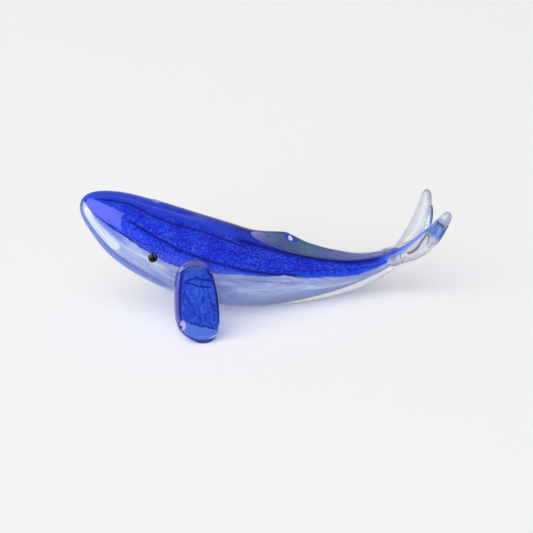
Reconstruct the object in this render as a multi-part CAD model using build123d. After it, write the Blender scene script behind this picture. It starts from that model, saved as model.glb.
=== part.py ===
from build123d import *
import math
import os

# Whale figurine in hot-worked glass, millimetres.
# X runs from the nose to the tail, Z is up, and the whale's left side is at -Y.
# The origin is the centre of the small flat under the belly, on the table.

# Body, from the tip of the nose to the end of the tail stock
BODY_LENGTH = 165.0
BODY_WIDTH = 40.4
BODY_DEPTH = 40.4
HEAD_LIFT = 60.0
REST_DEPTH = 0.4
REST_ALONG_SHARE = 0.610

# Each body section: its place along the body, the rise of its underside as a share
# of the head's lift, and its girth as a share of the body's width and depth.
# The first and last rows are the two ends.
BODY_SHARES = [
    (0.000, 1.063, 0.0),
    (0.0036, 1.011, 0.136),
    (0.012, 0.953, 0.261),
    (0.032, 0.860, 0.421),
    (0.074, 0.712, 0.618),
    (0.105, 0.605, 0.735),
    (0.138, 0.504, 0.819),
    (0.177, 0.412, 0.892),
    (0.223, 0.322, 0.936),
    (0.274, 0.231, 0.976),
    (0.344, 0.130, 1.000),
    (0.414, 0.063, 0.979),
    (0.486, 0.024, 0.899),
    (0.558, 0.003, 0.810),
    (0.631, 0.000, 0.713),
    (0.705, 0.013, 0.612),
    (0.779, 0.050, 0.493),
    (0.854, 0.119, 0.363),
    (0.903, 0.188, 0.288),
    (0.940, 0.242, 0.244),
    (0.971, 0.293, 0.207),
    (0.990, 0.352, 0.135),
    (1.000, 0.408, 0.0),
]

# Colour layer between the inner gather and the clear casing.
# Each row: the place along the body, and the layer's girth as a share of the body's there.
LAYER_THICKNESS = 1.0
LAYER_SHARES = [
    (0.014, 0.0),
    (0.018, 0.30),
    (0.032, 0.52),
    (0.074, 0.60),
    (0.105, 0.65),
    (0.138, 0.68),
    (0.177, 0.70),
    (0.223, 0.72),
    (0.274, 0.73),
    (0.344, 0.73),
    (0.414, 0.71),
    (0.486, 0.67),
    (0.558, 0.62),
    (0.631, 0.57),
    (0.705, 0.51),
    (0.779, 0.46),
    (0.854, 0.42),
    (0.903, 0.40),
    (0.940, 0.32),
    (0.962, 0.0),
]

# Line where the blue back meets the white belly, above the middle of each section,
# as a share of the body's half depth there
SPLIT_SHARES = [
    (0.000, -0.05),
    (0.138, -0.02),
    (0.274, 0.00),
    (0.414, 0.10),
    (0.558, 0.08),
    (0.705, 0.03),
    (0.854, 0.02),
    (1.000, 0.05),
]

# Eyes, dots of black glass let into the sides of the head
EYE_DIAMETER = 4.3
EYE_SINK = 0.7
EYE_ALONG_SHARE = 0.187
EYE_DROP_ANGLE = 11.0

# Blowhole, a small nub on the crown
BLOWHOLE_LENGTH = 3.2
BLOWHOLE_WIDTH = 1.8
BLOWHOLE_ALONG_SHARE = 0.152

# Dorsal fin, a bit of clear glass drawn along the back with an air bubble in it.
# Each row: the place along the body, and the fin's height and width as shares.
FIN_HEIGHT = 5.4
FIN_WIDTH = 11.0
FIN_SHARES = [
    (0.445, -0.30, 0.0),
    (0.465, 0.22, 0.45),
    (0.500, 0.52, 0.75),
    (0.535, 0.84, 0.94),
    (0.565, 1.00, 1.00),
    (0.600, 0.80, 0.92),
    (0.640, 0.50, 0.78),
    (0.700, 0.28, 0.60),
    (0.760, 0.18, 0.42),
    (0.800, -0.15, 0.0),
]
BUBBLE_LENGTH = 4.4
BUBBLE_WIDTH = 2.2
BUBBLE_ALONG_SHARE = 0.572

# Flippers, flat paddles from the shoulder down to the table
FLIPPER_WIDTH = 20.4
FLIPPER_THICKNESS = 6.8
FLIPPER_SKIN = 0.9
FLIPPER_SQUARENESS = 2.5
SHOULDER_ALONG_SHARE = 0.291
SHOULDER_RISE = 36.5
SHOULDER_SINK = 3.6
FLIPPER_SPREAD = 16.8
FLIPPER_SWEEP = 1.5

# Each row: the place along the paddle, and the shift of its middle toward the tail,
# its width and its thickness as shares
FLIPPER_SHARES = [
    (-0.040, 0.02, 0.26, 0.45),
    (0.010, 0.02, 0.46, 0.62),
    (0.090, 0.01, 0.66, 0.80),
    (0.180, 0.00, 0.80, 0.90),
    (0.290, 0.01, 0.91, 0.97),
    (0.470, 0.03, 0.99, 1.00),
    (0.650, 0.04, 1.00, 1.00),
    (0.770, 0.05, 0.97, 0.98),
    (0.855, 0.11, 0.87, 0.92),
    (0.930, 0.22, 0.64, 0.78),
    (0.975, 0.28, 0.38, 0.54),
    (0.994, 0.30, 0.17, 0.27),
    (1.000, 0.30, 0.0, 0.0),
]
FLIPPER_CORE_FIRST_SHARE = 0.15

# Flukes, two lobes pulled up and apart at the tail, each with a knob for a tip
FLUKE_REACH = 25.0
FLUKE_RISE = 29.0
FLUKE_SPREAD = 15.0
FLUKE_WIDTH = 14.6
FLUKE_THICKNESS = 6.4
FLUKE_GAP = 0.3
FLUKE_ALONG_SHARE = 0.900

# Each row, from the root to the tip: the reach behind the root, the spread of the lobe's
# inner edge, the rise, the width and the thickness as shares
FLUKE_SHARES = [
    (0.00, 0.01, 0.000, 0.30, 0.70),
    (0.20, 0.02, 0.065, 0.38, 0.84),
    (0.39, 0.00, 0.135, 0.62, 1.04),
    (0.59, 0.01, 0.290, 0.92, 1.02),
    (0.80, 0.21, 0.540, 0.96, 0.94),
    (0.92, 0.56, 0.770, 0.62, 0.84),
    (0.98, 0.78, 0.925, 0.385, 0.82),
    (0.995, 0.87, 0.985, 0.26, 0.56),
    (1.000, 1.00, 1.010, 0.0, 0.0),
]

# Blue streak drawn into each fluke.
# Each row: the place among the fluke's rows, and the streak's width and thickness
# as shares of the fluke's there.
STREAK_SHARES = [
    (2.0, 0.0),
    (2.2, 0.16),
    (3.0, 0.22),
    (4.0, 0.34),
    (4.6, 0.42),
    (5.0, 0.34),
    (5.3, 0.0),
]

# A section's outline is drawn through this many points
SECTION_POINTS = 16


def between(rows, place):
    """Values of a table of rows at a place, straight between its neighbours."""
    for low, high in zip(rows, rows[1:]):
        if place <= high[0] or high is rows[-1]:
            part = (place - low[0]) / (high[0] - low[0])
            return [a + (b - a) * part for a, b in zip(low[1:], high[1:])]


def body_centre(along):
    """Middle of the body's section at a share of its length."""
    lift, girth = between(BODY_SHARES, along)
    rise = lift * HEAD_LIFT + girth * BODY_DEPTH / 2 - REST_DEPTH
    return Vector((along - REST_ALONG_SHARE) * BODY_LENGTH, 0, rise)


def body_plane(along):
    """Plane square to the body at a share of its length, local y up."""
    step_share = 0.02
    ahead = body_centre(min(along + step_share, 1.0))
    behind = body_centre(max(along - step_share, 0.0))
    return Plane(origin=body_centre(along), x_dir=(0, 1, 0), z_dir=ahead - behind)


def body_halves(along):
    """Half of the body's width, and half of its depth, at a share of its length."""
    girth = between(BODY_SHARES, along)[1]
    return girth * BODY_WIDTH / 2, girth * BODY_DEPTH / 2


def section(plane, half_width, half_depth, squareness=2.0):
    """Closed rounded outline on a plane, from an ellipse to a soft rectangle.

    Its two halves meet on the plane's local y, which is at the crest and the keel of the body.
    """
    power = 2 / squareness
    points = []
    for number in range(SECTION_POINTS):
        angle = 2 * math.pi * number / SECTION_POINTS
        across = math.copysign(abs(math.sin(angle)) ** power, math.sin(angle))
        up = math.copysign(abs(math.cos(angle)) ** power, math.cos(angle))
        points.append((half_width * across, half_depth * up))
    outline = Spline(*points, periodic=True)
    return plane * make_face([outline.trim(0, 0.5), outline.trim(0.5, 1)])


def body_form():
    """Outside of the whale's body, before the flat under the belly is ground."""
    places = [row[0] for row in BODY_SHARES]
    middle = [section(body_plane(along), *body_halves(along)) for along in places[1:-1]]
    nose = Vertex(*body_centre(places[0]))
    stock = Vertex(*body_centre(places[-1]))
    return loft([nose, *middle, stock])


def layer_form(inset):
    """Outside of the colour layer, or of what lies under it at an inset."""
    rows = LAYER_SHARES if inset == 0 else LAYER_SHARES[:-1]
    inset_share = inset / BODY_LENGTH
    middle = []
    for along, share in rows[1:-1]:
        half_width, half_depth = [share * half - inset for half in body_halves(along)]
        middle.append(section(body_plane(along + inset_share), half_width, half_depth))
    first = Vertex(*body_centre(rows[0][0] + inset_share))
    last = Vertex(*body_centre(rows[-1][0]))
    return loft([first, *middle, last])


def below_colour_line():
    """Block that fills the space below the line where the two colours meet."""
    line = []
    for along, share in SPLIT_SHARES:
        point = body_centre(along) + Vector(0, 0, share * body_halves(along)[1])
        line.append((point.X, point.Z))
    head, tail = line[0], line[-1]
    floor = -BODY_DEPTH
    edges = [
        Spline(*line),
        Line(tail, (tail[0], floor)),
        Line((tail[0], floor), (head[0], floor)),
        Line((head[0], floor), head),
    ]
    return extrude(Plane.XZ * make_face(edges), BODY_WIDTH, both=True)


def flank_point(along, drop_angle, depth):
    """Point on the left flank, below the middle by an angle and at a depth in the glass."""
    half_width, half_depth = body_halves(along)
    angle = math.radians(drop_angle)
    aside = (half_width - depth) * math.cos(angle)
    below = (half_depth - depth) * math.sin(angle)
    return body_plane(along).from_local_coords((-aside, -below, 0))


def crown_plane(along):
    """Plane that touches the crest of the back, local x along the body and z outward."""
    plane = body_plane(along)
    crest = plane.from_local_coords((0, body_halves(along)[1], 0))
    return Plane(origin=crest, x_dir=plane.z_dir, z_dir=plane.y_dir)


def ellipsoid(plane, length, width, height):
    """Ellipsoid on a plane, with its length along the plane's x."""
    ball = Sphere(width / 2)
    return plane * scale(ball, (length / width, 1, height / width))


def eye():
    """Black glass dot, sunk into the left flank."""
    centre = flank_point(EYE_ALONG_SHARE, EYE_DROP_ANGLE, EYE_SINK)
    return Pos(centre) * Sphere(EYE_DIAMETER / 2)


def blowhole():
    """Small nub on the crown of the head."""
    return ellipsoid(crown_plane(BLOWHOLE_ALONG_SHARE), BLOWHOLE_LENGTH, BLOWHOLE_WIDTH, BLOWHOLE_WIDTH)


def fin_form():
    """Hump of the dorsal fin, with its lower half inside the back.

    The halves of its sections meet at its sides.
    """
    sections = []
    for along, height, width in FIN_SHARES:
        crown = crown_plane(along)
        if width == 0:
            sections.append(Vertex(*(crown.origin + crown.z_dir * height * FIN_HEIGHT)))
            continue
        upright = Plane(origin=crown.origin, x_dir=crown.z_dir, z_dir=crown.x_dir)
        sections.append(section(upright, height * FIN_HEIGHT, width * FIN_WIDTH / 2))
    return loft(sections)


def fin_bubble():
    """Air bubble under the peak of the fin."""
    crown = crown_plane(BUBBLE_ALONG_SHARE)
    middle = Plane(origin=crown.origin + crown.z_dir * FIN_HEIGHT / 2, x_dir=crown.x_dir, z_dir=crown.z_dir)
    return ellipsoid(middle, BUBBLE_LENGTH, BUBBLE_WIDTH, BUBBLE_WIDTH)


def flipper_form(skin, first_share):
    """Left paddle: its outside, or what lies inside its clear skin."""
    shoulder = body_centre(SHOULDER_ALONG_SHARE)
    sunk = body_halves(SHOULDER_ALONG_SHARE)[0] - SHOULDER_SINK
    root = Vector(shoulder.X, -sunk, SHOULDER_RISE)
    tip = Vector(shoulder.X - FLIPPER_SWEEP, -sunk - FLIPPER_SPREAD, -REST_DEPTH)
    run = tip - root
    skin_share = skin / run.length
    sections = []
    for along, shift, width, thickness in FLIPPER_SHARES:
        if along < first_share:
            continue
        middle = root + run * min(along, 1 - skin_share) + Vector(shift * FLIPPER_WIDTH / 2, 0, 0)
        half_width = width * FLIPPER_WIDTH / 2 - skin
        half_thickness = thickness * FLIPPER_THICKNESS / 2 - skin
        if min(half_width, half_thickness) <= 0:
            sections.append(Vertex(*middle))
            break
        plane = Plane(origin=middle, x_dir=(1, 0, 0), z_dir=run)
        sections.append(section(plane, half_width, half_thickness, FLIPPER_SQUARENESS))
    return loft(sections)


def fluke_row(place):
    """Shares of the fluke at a place among its rows."""
    rows = [(number, *row) for number, row in enumerate(FLUKE_SHARES)]
    return between(rows, place)


def fluke_middle(place):
    """Middle line of the left fluke at a place among its rows."""
    reach, spread, rise, width = fluke_row(place)[:4]
    aside = FLUKE_GAP / 2 + spread * FLUKE_SPREAD + width * FLUKE_WIDTH / 2
    return body_centre(FLUKE_ALONG_SHARE) + Vector(reach * FLUKE_REACH, -aside, rise * FLUKE_RISE)


def fluke_section(place, part):
    """Section of the left fluke, or of a part of its width and thickness."""
    step = 0.5
    last = len(FLUKE_SHARES) - 1
    run = fluke_middle(min(place + step, last)) - fluke_middle(max(place - step, 0))
    across = run.cross(Vector(0, 1, 0)).cross(run)
    plane = Plane(origin=fluke_middle(place), x_dir=across, z_dir=run)
    width, thickness = fluke_row(place)[3:]
    return section(plane, part * width * FLUKE_WIDTH / 2, part * thickness * FLUKE_THICKNESS / 2)


def fluke_form():
    """Left lobe of the tail with its knob tip."""
    last = len(FLUKE_SHARES) - 1
    sections = [fluke_section(number, 1) for number in range(last)]
    return loft([*sections, Vertex(*fluke_middle(last))])


def streak_form():
    """Blue glass drawn out inside the left fluke."""
    (first, _), *middle, (last, _) = STREAK_SHARES
    sections = [fluke_section(place, share) for place, share in middle]
    return loft([Vertex(*fluke_middle(first)), *sections, Vertex(*fluke_middle(last))])


def under_table():
    """Space below the table top, that the figurine's flats are ground to."""
    size = BODY_LENGTH
    return Pos(0, 0, -size / 2) * Box(2 * size, 2 * size, size)


def make_pieces():
    """All pieces of the figurine, by name."""
    ground = under_table()
    body = body_form()
    layer = layer_form(0)
    core = layer_form(LAYER_THICKNESS)
    belly = below_colour_line()
    paddle = flipper_form(0, FLIPPER_SHARES[0][0])
    blue = flipper_form(FLIPPER_SKIN, FLIPPER_CORE_FIRST_SHARE) - body
    streak = streak_form() - body
    left = {
        "eye": eye(),
        "flipper_core": blue,
        "flipper_casing": paddle - body - blue - ground,
        "fluke_streak": streak,
        "fluke": fluke_form() - body - streak,
    }
    right = {name: mirror(piece, about=Plane.XZ) for name, piece in left.items()}
    pieces = {
        "body_core": core,
        "back_overlay": (layer - belly) - core,
        "belly_overlay": (layer & belly) - core,
        "body_casing": body + blowhole() - layer - left["eye"] - right["eye"] - ground,
        "dorsal_fin": fin_form() - body - fin_bubble(),
    }
    for side, own in (("left", left), ("right", right)):
        pieces.update({f"{side}_{name}": piece for name, piece in own.items()})
    return pieces


if __name__ == "__main__":
    os.makedirs("parts", exist_ok=True)
    for name, piece in make_pieces().items():
        export_step(piece, f"parts/{name}.step")
        print(name, len(piece.solids()), round(piece.volume, 1))
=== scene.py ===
"""Looks of a hot-worked glass whale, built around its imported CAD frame, in metres.

X runs from the nose to the tail, Z is up, the whale's left side is at -Y, and it rests on z = 0.
"""

import logging
import math
from collections.abc import Iterator, Sequence
from contextlib import contextmanager
from dataclasses import dataclass, field, replace
from enum import Enum
from functools import reduce

import bpy
import numpy as np
from mathutils import Matrix, Vector


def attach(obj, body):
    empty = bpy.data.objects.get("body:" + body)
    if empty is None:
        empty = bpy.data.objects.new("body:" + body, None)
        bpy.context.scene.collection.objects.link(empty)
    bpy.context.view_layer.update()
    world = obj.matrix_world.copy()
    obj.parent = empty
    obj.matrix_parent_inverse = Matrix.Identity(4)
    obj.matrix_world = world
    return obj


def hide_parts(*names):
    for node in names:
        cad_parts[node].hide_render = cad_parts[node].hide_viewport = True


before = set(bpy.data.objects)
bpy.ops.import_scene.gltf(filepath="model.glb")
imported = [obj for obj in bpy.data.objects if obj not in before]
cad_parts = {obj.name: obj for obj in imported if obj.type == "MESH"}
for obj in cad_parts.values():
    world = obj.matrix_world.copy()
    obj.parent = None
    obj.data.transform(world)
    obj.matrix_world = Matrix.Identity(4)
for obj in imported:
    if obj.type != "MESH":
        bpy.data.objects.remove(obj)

logging.basicConfig(level=logging.INFO, format="%(message)s")
log = logging.getLogger("whale")

MM = 0.001
ASIDE = Vector((0, 1, 0))
WHITE = (1.0, 1.0, 1.0)
ROUND = 2.0
SAME_HEIGHT = 1e-6
SMOOTHING = 2
BEAD_SEGMENTS = 32

Rows = tuple[tuple[float, ...], ...]
Range = tuple[float, float]
Colour = tuple[float, float, float]
Piece = bpy.types.Object
Socket = bpy.types.NodeSocket


class Side(Enum):
    """Side of the whale, by the sign of its Y."""

    LEFT = -1
    RIGHT = 1

    @property
    def word(self) -> str:
        """Side as it stands in a node's name."""
        return self.name.lower()


class Slot(Enum):
    """Material slots of the record."""

    CLEAR = "clear_glass"
    CORE = "core_glass"
    COBALT = "cobalt_glass"
    OPAL = "opal_glass"
    BLACK = "black_glass"
    FLIPPER = "flipper_blue_glass"


def eased(rows: Rows, place: float) -> list[float]:
    """Values of a table at a place, on a smooth curve through its rows.

    Args:
        rows: Rows of a rising place followed by the values there.
        place: Where the values are wanted.

    Returns:
        The values at that place.
    """
    places = [row[0] for row in rows]
    at = min(max(int(np.searchsorted(places, place)) - 1, 0), len(rows) - 2)
    low, high = rows[at], rows[at + 1]
    before, after = rows[max(at - 1, 0)], rows[min(at + 2, len(rows) - 1)]
    span = high[0] - low[0]
    part = (place - low[0]) / span
    values = []
    for number in range(1, len(low)):
        start = (high[number] - before[number]) / (high[0] - before[0]) * span
        end = (after[number] - low[number]) / (after[0] - low[0]) * span
        values.append(
            (1 + 2 * part) * (1 - part) ** 2 * low[number]
            + part * (1 - part) ** 2 * start
            + part**2 * (3 - 2 * part) * high[number]
            + part**2 * (part - 1) * end
        )
    return values


def choose(*pieces: Piece) -> None:
    """Selects these pieces alone, the first one active.

    Args:
        pieces: What the next operator works on.
    """
    bpy.ops.object.select_all(action="DESELECT")
    for piece in pieces:
        piece.select_set(True)
    bpy.context.view_layer.objects.active = pieces[0]


@contextmanager
def editing(piece: Piece) -> Iterator[None]:
    """Holds a piece in edit mode.

    Args:
        piece: The piece that is edited.
    """
    choose(piece)
    bpy.ops.object.mode_set(mode="EDIT")
    yield
    bpy.ops.object.mode_set(mode="OBJECT")


def points_of(piece: Piece) -> np.ndarray:
    """Reads where the points of a piece are.

    Args:
        piece: The piece, in object mode.

    Returns:
        One row of three for each point.
    """
    flat = np.empty(len(piece.data.vertices) * 3)
    piece.data.vertices.foreach_get("co", flat)
    return flat.reshape(-1, 3)


def mark_points(piece: Piece, wanted: np.ndarray) -> None:
    """Selects points of a piece for the next edit, and nothing else on it.

    Args:
        piece: The piece, in object mode.
        wanted: True for each point to select.
    """
    with editing(piece):
        bpy.ops.mesh.select_mode(type="VERT")
        bpy.ops.mesh.select_all(action="DESELECT")
    piece.data.vertices.foreach_set("select", wanted)


def pull_top(piece: Piece, heights: np.ndarray, move: Vector, reach: float, falloff: str) -> None:
    """Pulls the highest point of a piece, with the glass beside it.

    Args:
        piece: The piece, in object mode.
        heights: Height of each of its points.
        move: How far the highest one goes.
        reach: How far from it the pull is felt.
        falloff: How the pull fades on the way.
    """
    mark_points(piece, heights > heights.max() - SAME_HEIGHT)
    with editing(piece):
        bpy.ops.transform.translate(
            value=move,
            use_proportional_edit=True,
            proportional_edit_falloff=falloff,
            proportional_size=reach,
        )


def press(piece: Piece, kind: str, **settings: object) -> None:
    """Adds a modifier to a piece and applies it.

    Args:
        piece: The piece to change.
        kind: The modifier's type.
        settings: Its settings, by name.
    """
    choose(piece)
    modifier = piece.modifiers.new(kind.title(), kind)
    for name, value in settings.items():
        setattr(modifier, name, value)
    bpy.ops.object.modifier_apply(modifier=modifier.name)


def settle(piece: Piece) -> None:
    """Moves a piece's place, turn and scale into its mesh, and smooths its shading.

    Args:
        piece: The piece to settle.
    """
    choose(piece)
    bpy.ops.object.transform_apply(location=True, rotation=True, scale=True)
    bpy.ops.object.shade_smooth()


def face_outward(piece: Piece) -> None:
    """Turns all faces of a piece outward.

    Args:
        piece: The closed piece.
    """
    with editing(piece):
        bpy.ops.mesh.select_all(action="SELECT")
        bpy.ops.mesh.normals_make_consistent(inside=False)


def store(piece: Piece, name: str, *values: np.ndarray) -> None:
    """Keeps one number or one vector for each point, for its finish to read.

    Args:
        piece: The piece.
        name: Name of the attribute.
        values: One number for each point, or three of them for a vector.
    """
    kind, part = ("FLOAT_VECTOR", "vector") if len(values) > 1 else ("FLOAT", "value")
    attribute = piece.data.attributes.new(name, kind, "POINT")
    attribute.data.foreach_set(part, np.stack(values, axis=1).astype(np.float32).ravel())


def named(name: str) -> Piece:
    """Names the piece that was added last, and gives it back."""
    bpy.context.object.name = bpy.context.object.data.name = name
    return bpy.context.object


@dataclass(frozen=True)
class Ring:
    """One cross-section of a form drawn from hot glass."""

    centre: Vector
    facing: Vector
    across: Vector
    half_width: float
    half_height: float
    squareness: float = ROUND
    crest_lift: float = 0.0
    crest_reach: float = 0.0

    @property
    def up(self) -> Vector:
        """Direction of the section's height."""
        return self.facing.cross(self.across).normalized()

    def draw(self, points: int) -> Piece:
        """Adds the section as a circle and shapes it.

        Args:
            points: How many points it has.

        Returns:
            The new outline.
        """
        facing = self.facing.normalized()
        turn = Matrix((self.up.cross(facing), self.up, facing)).transposed()
        bpy.ops.mesh.primitive_circle_add(
            vertices=points, radius=1, location=self.centre, rotation=turn.to_euler()
        )
        outline = bpy.context.object
        if self.squareness != ROUND:
            self.square_off(outline)
        outline.scale = (self.half_width, self.half_height, 1)
        bpy.ops.object.transform_apply(location=True, rotation=True, scale=True)
        if self.crest_lift:
            heights = (points_of(outline) - np.array(self.centre)) @ np.array(self.up)
            pull_top(outline, heights, self.up * self.crest_lift, self.crest_reach, "SMOOTH")
        return outline

    def square_off(self, outline: Piece) -> None:
        """Turns a unit circle into a soft rectangle.

        Args:
            outline: The circle, not yet scaled.
        """
        places = points_of(outline)
        flat = places[:, :2]
        places[:, :2] = np.sign(flat) * np.abs(flat) ** (ROUND / self.squareness)
        places[:, 2] = 0
        outline.data.vertices.foreach_set("co", places.ravel())


def end_ring(piece: Piece, ring: Ring, points: int) -> np.ndarray:
    """Finds the points of a ring at an end of a form, which are the nearest to its centre.

    Args:
        piece: The form.
        ring: The ring at its end.
        points: How many points a ring has.

    Returns:
        True for each point of that ring.
    """
    reach = np.linalg.norm(points_of(piece) - np.array(ring.centre), axis=1)
    wanted = np.zeros(len(reach), dtype=bool)
    wanted[np.argsort(reach)[:points]] = True
    return wanted


def across_of(run: Vector) -> Vector:
    """Direction across a run, as near to the whale's own as it can be."""
    return run.cross(ASIDE).cross(run).normalized()


def draw_form(name: str, rings: Sequence[Ring], tips: tuple[Vector, Vector], points: int) -> Piece:
    """Draws a closed form through rings, as glass is drawn from a gather.

    Args:
        name: Name of the piece.
        rings: Its sections, from one end to the other.
        tips: The points in which its two ends close.
        points: How many points a ring has.

    Returns:
        The closed form, smooth, at the origin.
    """
    outlines = [ring.draw(points) for ring in rings]
    choose(*outlines)
    bpy.ops.object.join()
    form = named(name)
    with editing(form):
        bpy.ops.mesh.select_all(action="SELECT")
        bpy.ops.mesh.bridge_edge_loops()
    for ring, tip in zip((rings[0], rings[-1]), tips):
        mark_points(form, end_ring(form, ring, points))
        with editing(form):
            bpy.ops.mesh.extrude_edges_move(TRANSFORM_OT_translate={"value": (0, 0, 0)})
            bpy.ops.mesh.merge(type="CENTER")
            bpy.ops.transform.translate(value=tip - ring.centre)
    settle(form)
    face_outward(form)
    press(form, "SUBSURF", levels=SMOOTHING, render_levels=SMOOTHING)
    return form


def bead(name: str, centre: Vector, turn: Matrix, sizes: Vector) -> Piece:
    """Adds a round drop of glass or air.

    Args:
        name: Name of the piece.
        centre: Its middle.
        turn: Directions of its three sizes, as columns.
        sizes: Its length along each of them.

    Returns:
        The drop, at the origin.
    """
    bpy.ops.object.select_all(action="DESELECT")
    bpy.ops.mesh.primitive_uv_sphere_add(
        segments=BEAD_SEGMENTS,
        ring_count=BEAD_SEGMENTS // 2,
        radius=0.5,
        location=centre,
        rotation=turn.to_euler(),
    )
    drop = named(name)
    drop.scale = sizes
    settle(drop)
    return drop


def work_in(piece: Piece, tool: Piece, operation: str) -> None:
    """Joins a form to a piece or cuts it out, and puts the form away.

    Args:
        piece: The piece that is worked on.
        tool: The form that is joined to it or cut from it.
        operation: Name of the Boolean operation.
    """
    press(piece, "BOOLEAN", object=tool, operation=operation, solver="EXACT")
    bpy.data.objects.remove(tool)


def grind_flat(piece: Piece) -> None:
    """Grinds a piece flat where it stands on the table.

    Args:
        piece: The closed piece.
    """
    with editing(piece):
        bpy.ops.mesh.select_all(action="SELECT")
        bpy.ops.mesh.bisect(plane_co=(0, 0, 0), plane_no=(0, 0, 1), use_fill=True, clear_inner=True)


def copied(piece: Piece, name: str) -> Piece:
    """Copies a piece.

    Args:
        piece: The finished piece.
        name: Name of the copy.

    Returns:
        The copy, with a mesh of its own.
    """
    choose(piece)
    bpy.ops.object.duplicate()
    return named(name)


def turned_over(piece: Piece) -> Piece:
    """Moves a piece to the other side of the whale, mirrored.

    Args:
        piece: The piece.

    Returns:
        The same piece.
    """
    choose(piece)
    bpy.ops.transform.mirror(constraint_axis=(False, True, False), center_override=(0, 0, 0))
    settle(piece)
    face_outward(piece)
    return piece


@dataclass(frozen=True)
class Line:
    """Soft line on a finish, along the piece or across it.

    Its rows are places on its way, between -1 and 1, each with how far aside it lies there.
    It fades out over a length beyond its ends, and shows as much as its share.
    """

    rows: Rows
    half_width: float
    fade: float = 0.02
    share: float = 1.0
    crosswise: bool = False


@dataclass(frozen=True)
class Spot:
    """Soft oval on a finish, by its middle and half of its sizes along and across the piece.

    Its edge is the share of it over which it fades, and it shows as much as its share.
    """

    centre: Range
    halves: Range
    edge: float
    share: float = 1.0


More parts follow.
